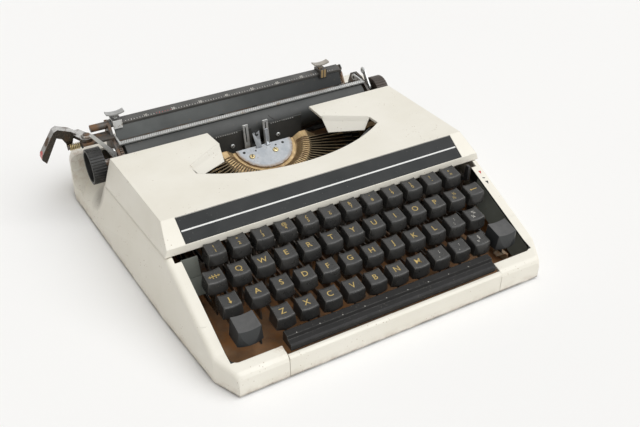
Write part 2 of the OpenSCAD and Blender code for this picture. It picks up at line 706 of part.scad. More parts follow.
// Prongs that lift the ribbon, sliding on the back of the cross bar
vib_y = segment_y + cross_back + slide_c;
vib_x = -2.5;
vib_half = 9.8;
vib_w = 5;
vib_t = 1.2;
vib_z = cross_z + 4;
vib_bend = segment_z + 0.5;
vib_top = segment_z + 19.5;
vib_lean = 3.2;
module ribbon_vibrator() color(zinc) placed() {
    for (s = [-1, 1]) side_plate(vib_x + s * vib_half, vib_w) polygon([[vib_y, vib_z], [vib_y + vib_t,
        vib_z],
        [vib_y + vib_t, vib_bend], [vib_y + vib_lean + vib_t, vib_top], [vib_y + vib_lean, vib_top],
        [vib_y, vib_bend]]);
    translate([vib_x - vib_half, vib_y, vib_z]) cube([2 * vib_half, vib_t, vib_w]);
}
card_y = platen_y - platen_r - 3.4;
card_half = 45;
card_top = platen_z + 8;
module card_holder() color(black) placed() {
    difference() {
        translate([-card_half, card_y, cross_z + cross_h]) cube([2 * card_half, 1.2,
            card_top - cross_z - cross_h]);
        translate([-6, card_y - 1, segment_z - 4]) cube([12, 4, 30]);
    }
    // Two feet on the cross bar, clear of the ribbon prongs
    both_sides() translate([vib_half + 8, segment_y + 4, cross_z + cross_h]) cube([14,
        card_y - segment_y - 3, 1.2]);
}
module spool(x) translate([x, spool_y, spool_z + 0.1]) difference() {
    union() {
        cylinder(r = spool_r, h = spool_t);
        cylinder(r = spool_core_r, h = spool_h);
        translate([0, 0, spool_h - spool_t]) cylinder(r = spool_r, h = spool_t);
    }
    translate([0, 0, -1]) cylinder(r = spindle_r + run_c, h = spool_h + 2);
}
module left_spool() color(black) placed() spool(-spool_x);
module right_spool() color(black) placed() spool(spool_x);

// Carriage rail, truck and drive
module carriage_rail() color(steel) placed() {
    inner = frame_half - frame_t / 2;
    translate([-inner, rail_y - rail_d / 2, rail_z - rail_h / 2]) cube([2 * inner, rail_d, rail_h]);
}
truck_half = 24;
truck_t = 1.7;
rack_half = 112;
rack_t = 3;
tooth_h = 2.2;
module tooth() polygon([[-1.1, 0], [1.1, 0], [0.45, tooth_h], [-0.45, tooth_h]]);
module carriage_truck() color(steel) placed() {
    top = rail_z + rail_h / 2 + slide_c;
    out = rail_d / 2 + slide_c + truck_t;
    translate([-truck_half, rail_y - out, top]) cube([2 * truck_half, post_y + 4 - rail_y + out, truck_t]);
    for (y = [rail_y - out, rail_y + out - truck_t]) translate([-truck_half, y, rail_z - rail_h / 2])
        cube([2 * truck_half, truck_t, rail_h + slide_c]);
    for (s = [-1, 1]) translate([s * post_x, post_y, top]) cylinder(r = post_r, h = platen_z + 8 - top);
    // Rack along the carriage, in mesh with the escape wheel
    teeth = floor(rack_half / tooth_pitch) - 1;
    translate([0, 0, rack_z]) linear_extrude(rack_t) {
        translate([-rack_half, post_y - 2]) square([2 * rack_half, 4]);
        for (i = [-teeth:teeth]) translate([i * tooth_pitch, post_y + 2]) tooth();
    }
}
module escape_wheel() color(bronze) placed() translate([0, wheel_y, rack_z]) linear_extrude(rack_t)
    difference() {
    union() {
        circle(wheel_r - 1.2);
        for (i = [0:wheel_teeth - 1]) rotate((i + 0.5) * 360 / wheel_teeth)
            polygon([[-1, wheel_r - 2], [1, wheel_r - 2], [0.4, wheel_r + 0.7], [-0.4, wheel_r + 0.7]]);
    }
    circle(stud_r + run_c);
}
module spring_drum() color(steel) placed() translate([drum_x, drum_y, drum_z]) rotate([-90, 0, 0])
    difference() {
    union() {
        cylinder(r = drum_r - 1.5, h = drum_w);
        cylinder(r = drum_r, h = drum_lip);
        translate([0, 0, drum_w - drum_lip]) cylinder(r = drum_r, h = drum_lip);
    }
    translate([0, 0, -1]) cylinder(r = stud_r + run_c, h = drum_w + 2);
}
module bell() color(chrome) placed() translate([bell_x, drum_y + 10, drum_z]) rotate([90, 0, 0])
    difference() {
    rotate_extrude() polygon([[0, 0], [5, 0], [12, 3], [14, 9], [13, 9], [11, 4], [5, 1.2], [0, 1.2]]);
    translate([0, 0, -1]) cylinder(r = stud_r + run_c, h = 4);
}

// Carriage
feed_y = platen_y - 9;
feed_z = platen_z - 15.6;
feed_r = 2.5;
bail_y = platen_y + 14;
bail_z = platen_z + 14;
bail_pin_r = 1.5;
module end_outline(top) {
    polygon([[platen_y - 14, platen_z - 4], [platen_y - 12.5, feed_z - 3], [platen_y - 5, feed_z - 3],
        [platen_y + 1, platen_z - 12], [platen_y + 15, platen_z - 12], [post_y + 4, platen_z - 4],
        [post_y + 4, platen_z + 4], top[0], top[1], [platen_y + 6, platen_z + 17], [platen_y - 9,
            platen_z + 9]]);
}
left_top = [[margin_y + 5, margin_z + 2], [margin_y - 8, margin_z + 2]];
right_top = [[margin_y + 4, platen_z + 14], [bail_y + 3, platen_z + 18]];
rail_right = carriage_w / 2 - 17.5;
rail_foot_t = 2;
tie_z = platen_z - 4;
bracket_z = platen_z + knob_r + 3;
lever_pin_r = 2.5;
lever_y = platen_y + 10;
stud_y = platen_y - 3;
stud_z = platen_z + 10;
end_pin_r = 1.5;
lug_t = 1.5;
coil_r = 2.6;
wire_r = 0.45;
coil_turns = 6;
coil_pitch = 1.5;
coil_x = lever_x - 5;
coil_y = lever_y + 4;
coil_z = bracket_z - coil_r - wire_r - 0.2;
module carriage_frame() color(charcoal) placed() {
    difference() {
        union() {
            side_plate(-carriage_w / 2 - end_t / 2, end_t) end_outline(left_top);
            side_plate(carriage_w / 2 + end_t / 2, end_t) end_outline(right_top);
            translate([-carriage_w / 2 - 1, post_y - 4, tie_z]) cube([carriage_w + 2, 8, 6]);
        }
        x_rod(-200, 200, platen_y, platen_z, platen_shaft_r + run_c);
        x_rod(-200, 200, feed_y, feed_z, 1.5 + run_c);
        for (s = [-1, 1]) translate([s * post_x, post_y, 0]) cylinder(r = post_r + run_c, h = 100);
    }
    // Bracket that carries the right end of the margin rail
    side_plate(rail_right + rail_foot_t / 2, rail_foot_t) polygon([[post_y - 3, tie_z + 3],
        [post_y + 3, tie_z + 3],
        [margin_y + 3, margin_z + 1], [margin_y + 1, margin_z + 2.7], [margin_y - 4.5, margin_z - 0.5]]);
    // Stub pins for the paper bail
    both_sides() x_rod(carriage_w / 2 - 3, carriage_w / 2 + 1, bail_y, bail_z, bail_pin_r);
    // End of the margin rail's tube beyond the left end plate
    x_rod(-end_half - 14, -carriage_w / 2 - 1, margin_y - 1, margin_z, 3.2);
    // Bracket over the left knob with the return lever's pin
    translate([lever_x - 5, lever_y - 7, bracket_z]) cube([-lever_x + 5 - carriage_w / 2, 14, 2]);
    translate([lever_x, lever_y, bracket_z]) cylinder(r = lever_pin_r, h = 8);
    // Lug under the bracket and the stud inside the lever's spring
    translate([coil_x, coil_y - 2.5, coil_z - 2.5]) cube([lug_t, 5, bracket_z + 1 - coil_z + 2.5]);
    x_rod(coil_x - coil_turns * coil_pitch - 1.5, coil_x + 0.5, coil_y, coil_z, coil_r - wire_r - slide_c);
    // Studs for the small levers at each end
    both_sides() x_rod(end_half - 1, end_half + 4, stud_y, stud_z, end_pin_r);
}
module platen() color(rubber) placed() difference() {
    x_rod(-platen_len / 2, platen_len / 2, platen_y, platen_z, platen_r);
    x_rod(-platen_len, platen_len, platen_y, platen_z, platen_shaft_r);
}
module platen_shaft() color(steel) placed()
    x_rod(-knob_left - 2, knob_right + 2, platen_y, platen_z, platen_shaft_r);
// Ribbed knob, hollow at its outer face
module knob(x) difference() {
    translate([x, platen_y, platen_z]) rotate([0, 90, 0]) linear_extrude(knob_len) difference() {
        circle(knob_r);
        for (i = [0:35]) rotate(i * 10) translate([knob_r, 0]) circle(0.6, $fn = 6);
    }
    x_rod(x - 1, x + knob_len + 1, platen_y, platen_z, platen_shaft_r);
    x_rod(x + 4, x + knob_len + 1, platen_y, platen_z, knob_r - 2.2);
}
module right_knob() color(black) placed() knob(knob_right);
module left_knob() color(black) placed() mirror([1, 0, 0]) knob(knob_left);
ratchet_teeth = 30;
module line_ratchet() color(steel) placed() translate([-carriage_w / 2 + 0.5, platen_y, platen_z])
    rotate([0, 90, 0])
    linear_extrude(3) difference() {
        union() {
            circle(11);
            for (i = [0:ratchet_teeth - 1]) rotate(i * 360 / ratchet_teeth)
                polygon([[10.5, -0.9], [12.6, 0.7], [10.5, 1]]);
        }
        circle(platen_shaft_r);
    }
module feed_roller() color(rubber) placed() {
    x_rod(-end_half, end_half, feed_y, feed_z, 1.5);
    for (x = [-80, 0, 80]) difference() {
        x_rod(x - 18, x + 18, feed_y, feed_z, feed_r);
        x_rod(x - 19, x + 19, feed_y, feed_z, 1.4);
    }
}
table_left = 3.3 - carriage_w / 2;
table_right = rail_right - 0.6;
module paper_table() color(charcoal) placed() side_plate((table_left + table_right) / 2,
    table_right - table_left)
    polygon([[platen_y + 10.5, platen_z + 12], [platen_y + 12, platen_z + 11.5], [margin_y - 2,
        margin_z - 1.5],
        [margin_y - 4, margin_z - 1.5]]);
module rail_outline(grow) polygon([[margin_y - 4.5 - grow, margin_z - 1.5 - grow],
    [margin_y + 3 + grow, margin_z - 1.5 - grow], [margin_y + 3 + grow, margin_z + 2.7 + grow],
    [margin_y - 1 - grow, margin_z + 2.7 + grow], [margin_y - 4.5 - grow, margin_z + 0.5 + grow]]);
module margin_rail() color(charcoal) placed()
    side_plate((rail_right - carriage_w / 2) / 2, rail_right + carriage_w / 2) rail_outline(0);
stop_left = 6.5 - carriage_w / 2;
stop_right = rail_right - 19;
stop_w = 8;
wing_half = 8;
wing_t = 1.3;
wing_r = 22;
wing_z = margin_z + 8;
// Saddle on the rail with a tab in front and a curved finger wing on top
module margin_stop(x) {
    difference() {
        union() {
            translate([x - stop_w / 2, margin_y - 6.5, margin_z - 1.4]) cube([stop_w, 11.5, 6]);
            translate([x - stop_w / 2, margin_y - 6.5, margin_z - 3]) cube([stop_w, 1.2, 8]);
            translate([x - 1.5, margin_y - 1.5, margin_z + 4]) cube([3, 3.5, wing_z + 0.8 - margin_z - 4]);
        }
        side_plate(x, 40) rail_outline(slide_c);
    }
    depth_plate(margin_y - 3, margin_y + 3) translate([x, wing_z + wing_r + wing_t]) intersection() {
        difference() {
            circle(wing_r + wing_t, $fn = 120);
            circle(wing_r, $fn = 120);
        }
        translate([-wing_half, -wing_r - 2 * wing_t]) square([2 * wing_half, wing_r]);
    }
}
module left_margin_stop() color(chrome) placed() margin_stop(stop_left);
module right_margin_stop() color(chrome) placed() margin_stop(stop_right);
bar_y = platen_y - 2.2;
bar_z = platen_z + platen_r + 0.6;
module paper_bail() color(chrome) placed() {
    inner = carriage_w / 2 - 1;
    translate([-inner, bar_y - 2.2, bar_z]) cube([2 * inner, 4.4, 1.4]);
    both_sides() difference() {
        side_plate(inner - 0.8, 1.6) {
            polygon([[bar_y - 2.2, bar_z], [bar_y + 2.2, bar_z], [bail_y - 1, bail_z - 2.8],
                [bail_y + 2, bail_z + 2.6],
                [bail_y - 2, bail_z + 3.2], [bar_y - 2.2, bar_z + 1.4]]);
            translate([bail_y, bail_z]) circle(3.2);
        }
        x_rod(inner - 10, inner + 10, bail_y, bail_z, bail_pin_r + run_c);
    }
}
// Lever: root plate on the pin, a rising web with a hooked end, and a flange along its upper edge
web_y = lever_y + 7.7;
web_t = 2;
flange_d = 8.5;
web_root = [lever_x - 2.5, bracket_z + 2.3];
web_rise = [lever_x - 10.5, bracket_z + 9];
web_bend = [[lever_x - 21, bracket_z + 13.5], [lever_x - 24.5, bracket_z + 12]];
web_tip = [[lever_tip + 0.8, bracket_z - 7.5], [lever_tip, bracket_z - 11]];
module return_lever() color(chrome) placed() {
    z0 = bracket_z + 2 + slide_c;
    edge = concat([web_root, web_rise], web_bend, web_tip);
    difference() {
        translate([0, 0, z0]) linear_extrude(3) {
            translate([lever_x, lever_y]) circle(5.5);
            polygon([[lever_x - 5.5, lever_y], [lever_x + 3, lever_y + 4.5], [lever_x - 2.5,
                web_y + flange_d],
                [lever_x - 9, web_y + flange_d], [lever_x - 9, web_y]]);
        }
        translate([lever_x, lever_y, z0 - 1]) cylinder(r = lever_pin_r + run_c, h = 10);
    }
    depth_plate(web_y, web_y + web_t) polygon(concat(edge, [[lever_tip + 3.3, bracket_z - 15.5],
        [lever_x - 23.1, bracket_z + 6], [lever_x - 18.8, bracket_z + 4], [lever_x - 16, bracket_z - 1.5],
        [lever_x - 15.5, bracket_z - 8], [lever_x - 12, bracket_z - 6.5], [lever_x - 9.5, z0]]));
    depth_plate(web_y, web_y + flange_d) polygon(concat(edge, [[lever_tip + 1.6, bracket_z - 11],
        [lever_tip + 2.3, bracket_z - 8], [lever_x - 23.4, bracket_z + 11], [lever_x - 20.9,
            bracket_z + 11.9],
        [lever_x - 9.7, bracket_z + 7.4], [lever_x - 2.5, z0]]));
}
// Coil on the stud below the return lever: one tube, straight for its own diameter at each end
coil_steps = 12;
function coil_point(i) = let (a = i * 360 / coil_steps)
    [-slide_c - wire_r - i * coil_pitch / coil_steps, coil_r * cos(a), coil_r * sin(a)];
function coil_ring(i, push) = let (a = i * 360 / coil_steps) [for (k = [5:-1:0])
    let (b = k * 60, rr = coil_r + wire_r * cos(b))
    [coil_point(i)[0] + wire_r * sin(b), rr * cos(a) - push * sin(a), rr * sin(a) + push * cos(a)]];
coil_end = coil_steps * coil_turns;
coil_gap = min([for (i = [0:coil_end]) for (j = [i + coil_steps / 2:coil_end])
    norm(coil_point(i) - coil_point(j))]) - 2 * wire_r;
echo(coil_gap = coil_gap);
module lever_spring() color([0.66, 0.55, 0.30]) placed() translate([coil_x, coil_y, coil_z]) loft(concat(
    [coil_ring(0, -2 * wire_r)], [for (i = [0:coil_end]) coil_ring(i, 0)], [coil_ring(coil_end,
        2 * wire_r)]));
// Small levers on the studs: a leaning strip at the left, an upright finger at the right
module end_boss() difference() {
    side_plate(end_half + 2, 1.5) {
        translate([stud_y, stud_z]) circle(3.5);
        children();
    }
    x_rod(end_half - 2, end_half + 6, stud_y, stud_z, end_pin_r + run_c);
}
module line_space_lever() color(zinc) placed() mirror([1, 0, 0]) {
    end_boss() translate([stud_y - 5.5, stud_z - 2.5]) square([3, 5]);
    depth_plate(stud_y - 5.5, stud_y - 3) polygon([[end_half + 1.3, platen_z + 5], [end_half + 2.8,
        platen_z + 5],
        [end_half + 16.8, platen_z + 30], [end_half + 15.3, platen_z + 30]]);
}
module release_lever() color(chrome) placed() end_boss() polygon([[stud_y - 3, stud_z + 1],
    [stud_y + 3, stud_z - 1],
    [stud_y + 12, platen_z + 23], [stud_y + 8, platen_z + 25]]);

body_shell();
front_strip();
ribbon_cover();
cover_band();
base_pan();
feet();
pan_screws();
left_frame();
right_frame();
rear_plate();
key_shaft();
key_comb();
key_caps_1();
key_caps_2();
key_caps_3();
key_caps_4();
key_levers_1();
key_levers_2();
key_levers_3();
key_levers_4();
lead_cap();
lead_lever();
shift_lock();
left_shift();
right_shift();
margin_release();
backspace();
space_bar();
space_arms();
color_selector();
segment();
face_plate();
type_bars();
lead_type_bar();
type_rest();
ribbon_vibrator();
card_holder();
left_spool();
right_spool();
carriage_rail();
carriage_truck();
escape_wheel();
spring_drum();
bell();
carriage_frame();
platen();
platen_shaft();
left_knob();
right_knob();
line_ratchet();
feed_roller();
paper_table();
margin_rail();
left_margin_stop();
right_margin_stop();
paper_bail();
return_lever();
lever_spring();
line_space_lever();
release_lever();
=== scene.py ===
import math
import bmesh
import bpy
from mathutils import Matrix, Vector
from mathutils.bvhtree import BVHTree


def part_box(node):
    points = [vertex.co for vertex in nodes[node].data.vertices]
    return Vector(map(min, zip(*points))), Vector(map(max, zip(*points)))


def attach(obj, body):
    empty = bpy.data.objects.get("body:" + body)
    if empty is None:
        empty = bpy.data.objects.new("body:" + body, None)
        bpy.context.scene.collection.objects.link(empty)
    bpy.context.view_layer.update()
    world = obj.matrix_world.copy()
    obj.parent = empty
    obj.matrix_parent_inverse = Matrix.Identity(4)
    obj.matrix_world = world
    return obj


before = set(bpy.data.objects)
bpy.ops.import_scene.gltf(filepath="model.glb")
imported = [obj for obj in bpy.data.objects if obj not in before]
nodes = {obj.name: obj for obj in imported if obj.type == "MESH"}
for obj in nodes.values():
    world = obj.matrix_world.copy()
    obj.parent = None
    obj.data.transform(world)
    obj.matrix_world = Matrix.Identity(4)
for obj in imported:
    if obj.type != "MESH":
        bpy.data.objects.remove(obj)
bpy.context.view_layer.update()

scene = bpy.context.scene
scene.view_settings.view_transform = "Standard"

mm = 0.001
shellLow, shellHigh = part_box("body_shell")
midX = (shellLow[0] + shellHigh[0]) / 2
frontY = shellLow[1]


def at(x, y, z):  # millimetres: x from the middle of the body, y from its front edge, z from the table
    return Vector((midX + x * mm, frontY + y * mm, z * mm))


print("frame loaded:", len(nodes), "nodes")

# camera and light; studio also holds the floor's colour and size

viewSet = {"place": (-266.0, -356.1, 422.8), "turn": -29.06, "tilt": 35.51, "lens": 46.24, "sensor": 36,
           "near": 0.01}


def setCamera():
    data = bpy.data.cameras.new("photoCamera")
    data.lens = viewSet["lens"]
    data.sensor_width = viewSet["sensor"]
    data.sensor_fit = "HORIZONTAL"
    data.clip_start = viewSet["near"]
    cam = bpy.data.objects.new("photoCamera", data)
    cam.location = at(*viewSet["place"])
    cam.rotation_euler = (math.radians(90 - viewSet["tilt"]), 0, math.radians(viewSet["turn"]))
    scene.collection.objects.link(cam)
    scene.camera = cam


# each lamp: strength, spread in degrees and the direction that it shines from
studio = {"fill": 0.47, "fillTint": (1, 0.97, 0.925, 1), "lampTint": (0.955, 0.975, 1.0),
          "lamps": {"keyLamp": (2.2, 62, (0.34, -0.42, 0.84)), "sideLamp": (0.1, 60, (-0.5, -0.35, 0.79))},
          "floor": (0.895, 0.89, 0.88), "floorShade": 0.985, "floorSize": 9.0}


def setLight():
    world = bpy.data.worlds.new("paleStudio")
    scene.world = world
    world.use_nodes = True
    world.node_tree.nodes.clear()
    current["tree"] = world.node_tree
    fill = addNode("Background", {"Color": studio["fillTint"], "Strength": studio["fill"]}).outputs[0]
    seen = addNode("Background", {"Color": (1, 1, 1, 1), "Strength": 1}).outputs[0]
    rays = addNode("LightPath", {}).outputs
    direct = sums("MAXIMUM", rays["Is Camera Ray"], rays["Is Glossy Ray"])  # these rays see plain white
    direct = sums("MAXIMUM", direct, rays["Is Transmission Ray"])
    pick = addNode("MixShader", {0: direct, 1: fill, 2: seen})
    addNode("OutputWorld", {"Surface": pick.outputs[0]})
    for name, (power, spread, source) in studio["lamps"].items():
        lamp = bpy.data.lights.new(name, "SUN")
        lamp.energy = power
        lamp.color = studio["lampTint"]
        lamp.angle = math.radians(spread)
        obj = bpy.data.objects.new(name, lamp)
        obj.rotation_euler = Vector(source).to_track_quat("Z", "Y").to_euler()
        scene.collection.objects.link(obj)


# material building blocks; new nodes go into the current tree, texture places are the part's own metres

current = {"tree": None}
bevelSamples = 6
edgeFade = (0.985, 0.86)  # how well rounded and flat normals agree: where an edge starts and where it is full
speckCore = 0.75  # share of a speck that is solid


def setInput(socket, value):  # value: a number, a colour, a place or another node's output
    if isinstance(value, bpy.types.NodeSocket):
        socket.id_data.links.new(value, socket)
    else:
        socket.default_value = value


def addNode(kind, inputs, **settings):
    node = current["tree"].nodes.new("ShaderNode" + kind)
    for key, value in settings.items():
        setattr(node, key, value)
    for key, value in inputs.items():
        setInput(node.inputs[key], value)
    return node


def startFinish(name):
    mat = bpy.data.materials.new(name)
    mat.use_nodes = True
    current["tree"] = mat.node_tree
    return mat, mat.node_tree.nodes["Principled BSDF"]


def placeOf(shift=(0, 0, 0)):
    coord = addNode("TexCoord", {})
    return addNode("Mapping", {"Location": shift, "Vector": coord.outputs["Object"]}).outputs[0]


def noiseOf(scale, detail, rough, shift=(0, 0, 0)):
    inputs = {"Scale": scale, "Detail": detail, "Roughness": rough, "Vector": placeOf(shift)}
    return addNode("TexNoise", inputs).outputs[0]


def remap(value, low, high, toLow=0.0, toHigh=1.0):
    inputs = {"Value": value, "From Min": low, "From Max": high, "To Min": toLow, "To Max": toHigh}
    return addNode("MapRange", inputs).outputs[0]


def dotsOf(scale, size):  # scattered specks, 1 inside a speck
    cells = addNode("TexVoronoi", {"Scale": scale, "Vector": placeOf()})
    return remap(cells.outputs["Distance"], size, size * speckCore)


def sums(kind, a, b):
    return addNode("Math", {0: a, 1: b}, operation=kind).outputs[0]


def patchy(value, noise, low, high, toLow=0.0, toHigh=1.0):  # a value broken up by a noise
    return sums("MULTIPLY", value, remap(noise, low, high, toLow, toHigh))


def tint(fac, a, b):
    a, b = ((*c, 1) if isinstance(c, tuple) else c for c in (a, b))
    return addNode("Mix", {0: fac, 6: a, 7: b}, data_type="RGBA").outputs[2]


def layOn(mask, share, color, paint):  # a share of a paint where the mask is 1
    return tint(sums("MULTIPLY", mask, share), color, paint)


def setLook(shader, color, rough, metal=0.0, spec=0.5):
    looks = {"Base Color": color, "Roughness": rough, "Metallic": metal, "Specular IOR Level": spec}
    for name, value in looks.items():
        setInput(shader.inputs[name], value)


def roundedOf(radius):  # normals that round the edges off
    return addNode("Bevel", {"Radius": radius}, samples=bevelSamples).outputs[0]


def edgeOf(radius):  # 1 on corners and edges
    flat = addNode("NewGeometry", {}).outputs["Normal"]
    dot = addNode("VectorMath", {0: roundedOf(radius), 1: flat}, operation="DOT_PRODUCT")
    return remap(dot.outputs["Value"], *edgeFade)


def axisOf(axis):
    return addNode("SeparateXYZ", {0: placeOf()}).outputs["XYZ".index(axis)]


def nearOf(point, reach):  # 1 at a point, 0 at reach
    dist = addNode("VectorMath", {0: placeOf(), 1: point}, operation="DISTANCE")
    return remap(dist.outputs["Value"], reach, 0)


def upOf(low, high):  # 1 on faces that look up
    split = addNode("SeparateXYZ", {0: addNode("NewGeometry", {}).outputs["Normal"]})
    return remap(split.outputs["Z"], low, high)


def rustOf(scale, share):  # patches of rust
    return remap(noiseOf(scale, 5, 0.68, shift=(5, 1, 3)), *share)


def bumpTo(shader, height, strength, distance, radius):
    bump = addNode("Bump", {"Strength": strength, "Distance": distance, "Height": height})
    if radius:
        setInput(bump.inputs["Normal"], roundedOf(radius))
    setInput(shader.inputs["Normal"], bump.outputs[0])


cream = {"light": (0.815, 0.785, 0.7), "shade": (0.755, 0.72, 0.625), "darkBrown": (0.36, 0.27, 0.18),
         "deepBrown": (0.085, 0.065, 0.05), "rust": (0.3, 0.135, 0.05), "liner": (0.058, 0.063, 0.055),
         "gap": (0.008, 0.008, 0.007), "linerTop": (21, 14.5, 0.386), "wellHalf": 129.6, "wellFront": 12,
         "wellRear": 99.5, "stains": [((-92, 9, 21), 9), ((-152, 290, 40), 30), ((-140, 245, 38), 18)],
         "shades": [((-152, 250, 29), 19), ((152, 252, 24), 20)], "shadeAndGrime": (0.085, 0.062, 0.04),
         "lowDarkening": (0.009, 0.0015), "footDarkening": (0.0037, 0.0025), "speckShare": 0.7, "lowShare": 0.5,
         "footShare": 0.7, "stainShare": 0.6, "wearReach": 0.0011, "shellWear": 1.0, "coverWear": 0.3}


def creamPaint(name, lined, soft=0.0009):  # soft: how far edges look rounded and worn, none on a thin skin
    mat, shader = startFinish(name)
    cloud = remap(noiseOf(14, 4, 0.6), 0.35, 0.68)
    color = tint(cloud, cream["light"], cream["shade"])
    specks = patchy(dotsOf(330, 0.16), noiseOf(60, 2, 0.5, shift=(3, 1, 2)), 0.54, 0.66)
    color = layOn(specks, cream["speckShare"], color, cream["darkBrown"])
    height = axisOf("Z")
    # darker towards the bottom, and a darker thin line along the bottom edge
    low = remap(height, *cream["lowDarkening"])
    low = patchy(low, noiseOf(120, 4, 0.6), 0.35, 0.65)
    color = layOn(low, cream["lowShare"], color, cream["darkBrown"])
    foot = remap(height, *cream["footDarkening"])
    foot = patchy(foot, noiseOf(60, 3, 0.6, shift=(2, 2, 2)), 0.3, 0.6)
    color = layOn(foot, cream["footShare"], color, cream["deepBrown"])
    for point, reach in cream["stains"]:
        stain = nearOf(at(*point), reach * mm)
        stain = patchy(stain, noiseOf(210, 4, 0.7, shift=(1, 5, 2)), 0.45, 0.72)
        color = layOn(stain, cream["stainShare"], color, cream["rust"])
    # darker brown in the recesses beside the platen knobs: painted shade together with grime
    for point, reach in cream["shades"]:
        shade = remap(nearOf(at(*point), reach * mm), 0.05, 0.6)
        shade = patchy(shade, noiseOf(90, 4, 0.6), 0.2, 0.6, 0.55, 0.95)
        color = tint(shade, color, cream["shadeAndGrime"])
    if soft:
        worn = edgeOf(cream["wearReach"])
        worn = patchy(worn, noiseOf(85, 5, 0.7, shift=(7, 3, 1)), 0.585, 0.64)
        color = layOn(worn, cream["shellWear" if lined else "coverWear"], color, cream["deepBrown"])
    if lined:  # the walls of the key well take a dark liner colour, and black above the liner's top line as painted shade of the gap under the arms
        side = sums("ABSOLUTE", sums("SUBTRACT", axisOf("X"), midX), 0)
        deep = axisOf("Y")
        beside = sums("LESS_THAN", side, cream["wellHalf"] * mm)
        behind = sums("GREATER_THAN", deep, frontY + cream["wellFront"] * mm)
        before = sums("LESS_THAN", deep, frontY + cream["wellRear"] * mm)
        inWell = sums("MULTIPLY", beside, sums("MULTIPLY", behind, before))
        startY, startZ, slope = cream["linerTop"]
        ramp = sums("MULTIPLY_ADD", sums("SUBTRACT", deep, frontY + startY * mm), slope)
        ramp.node.inputs[2].default_value = startZ * mm
        plated = sums("LESS_THAN", height, ramp)
        color = tint(inWell, color, tint(plated, cream["gap"], cream["liner"]))
    setLook(shader, color, remap(noiseOf(40, 3, 0.6), 0.3, 0.7, 0.36, 0.52))
    bumpTo(shader, noiseOf(900, 2, 0.5), 0.06, 0.0004, soft)
    return mat


def speckled(name, base, other, dust, rough, grain=300, cloudScale=30, edgeWearAndHighlight=None, edge=0.0006,
             dustShare=0.5, spec=0.5, drift=None, soft=None):
    mat, shader = startFinish(name)
    cloud = remap(noiseOf(cloudScale, 4, 0.62), 0.34, 0.68)
    color = tint(cloud, base, other)
    if drift:  # paler towards one end
        fromX, toX, paler = drift
        along = remap(axisOf("X"), at(fromX, 0, 0)[0], at(toX, 0, 0)[0])
        color = tint(patchy(along, cloud, 0, 1, 0.4, 1), color, paler)
    dustNoise = noiseOf(cloudScale * 3, 3, 0.6, shift=(4, 2, 9))
    specks = patchy(dotsOf(grain, 0.2), dustNoise, 0.5, 0.62)
    color = layOn(specks, dustShare, color, dust)
    # pale edges: wear, and on the key caps also painted highlights
    if edgeWearAndHighlight:
        worn = patchy(edgeOf(edge), noiseOf(160, 3, 0.6, shift=(2, 8, 5)), 0.36, 0.6)
        color = layOn(worn, 0.85, color, edgeWearAndHighlight)
    sheen = noiseOf(cloudScale * 2, 4, 0.6, shift=(6, 6, 1))
    setLook(shader, color, remap(sheen, 0.3, 0.7, *rough), spec=spec)
    bumpTo(shader, noiseOf(grain * 3, 2, 0.5), 0.08, 0.0003, soft or edge)
    return mat


def rustyMetal(name, base, other, rust, rough, share=(0.52, 0.66), metal=0.8, scale=70, bump=0.15):
    mat, shader = startFinish(name)
    color = tint(remap(noiseOf(scale * 2, 4, 0.6), 0.32, 0.68), base, other)
    patch = rustOf(scale, share)
    color = tint(patch, color, rust)
    setLook(shader, color, remap(patch, 0, 1, *rough), remap(patch, 0, 1, metal, 0.05))
    bumpTo(shader, noiseOf(scale * 8, 3, 0.6), bump, 0.0003, 0.0003)
    return mat


# faces that look up get the top colour and the others the side colour: painted light from above
def twoTone(name, side, top, rust, rough, metal, share=(0.52, 0.68), scale=90, up=(0.35, 0.8), tip=None):
    mat, shader = startFinish(name)
    color = tint(upOf(*up), side, top)
    color = tint(remap(noiseOf(scale * 3, 4, 0.6), 0.3, 0.75, 0, 0.45), color, side)
    patch = rustOf(scale, share)
    color = tint(patch, color, rust)
    if tip:
        point, reach, paint = tip
        color = tint(sums("GREATER_THAN", nearOf(at(*point), reach * mm), 0.02), color, paint)
    setLook(shader, color, remap(patch, 0, 1, *rough), metal)
    bumpTo(shader, noiseOf(scale * 7, 3, 0.6), 0.1, 0.0003, 0.0003)
    return mat


def platePaint(name, look):  # mottled plate with a rusty rim around its middle
    mat, shader = startFinish(name)
    color = tint(remap(noiseOf(190, 4, 0.65), 0.32, 0.68), look["base"], look["other"])
    rim = remap(nearOf(at(*look["middle"]), look["reach"] * mm), look["rim"][1], look["rim"][0])
    rim = patchy(rim, noiseOf(260, 4, 0.7, shift=(2, 2, 6)), 0.25, 0.6)
    color = tint(rim, color, look["rust"])
    spots = patchy(dotsOf(420, 0.22), noiseOf(130, 3, 0.6, shift=(8, 1, 1)), 0.5, 0.62)
    color = layOn(spots, 0.7, color, look["rust"])
    setLook(shader, color, remap(rim, 0, 1, 0.38, 0.7), 0.45)
    bumpTo(shader, noiseOf(900, 3, 0.6), 0.12, 0.0003, 0.0003)
    return mat


def stopPaint(name, look):  # grey wing, painted saddle below it with a dark top
    mat, shader = startFinish(name)
    darker = tuple(c * 0.7 for c in look["wing"])
    wing = tint(remap(noiseOf(170, 4, 0.6), 0.3, 0.7), look["wing"], darker)
    low = tint(upOf(0.4, 0.7), look["low"], look["top"])
    low = tint(remap(noiseOf(240, 4, 0.7), 0.56, 0.66), low, look["rust"])
    if "legs" in look:  # two narrow legs, dark beside and between them
        middle, near, far = look["legs"]
        side = sums("ABSOLUTE", sums("SUBTRACT", axisOf("X"), at(middle, 0, 0)[0]), 0)
        outer = sums("LESS_THAN", side, far * mm)
        leg = sums("MULTIPLY", sums("GREATER_THAN", side, near * mm), outer)
        low = tint(leg, look["top"], low)
    color = tint(sums("LESS_THAN", axisOf("Z"), look["split"] * mm), wing, low)
    setLook(shader, color, remap(noiseOf(90, 3, 0.6), 0.3, 0.7, 0.35, 0.55), 0.3)
    bumpTo(shader, noiseOf(800, 2, 0.5), 0.08, 0.0003, 0.0004)
    return mat


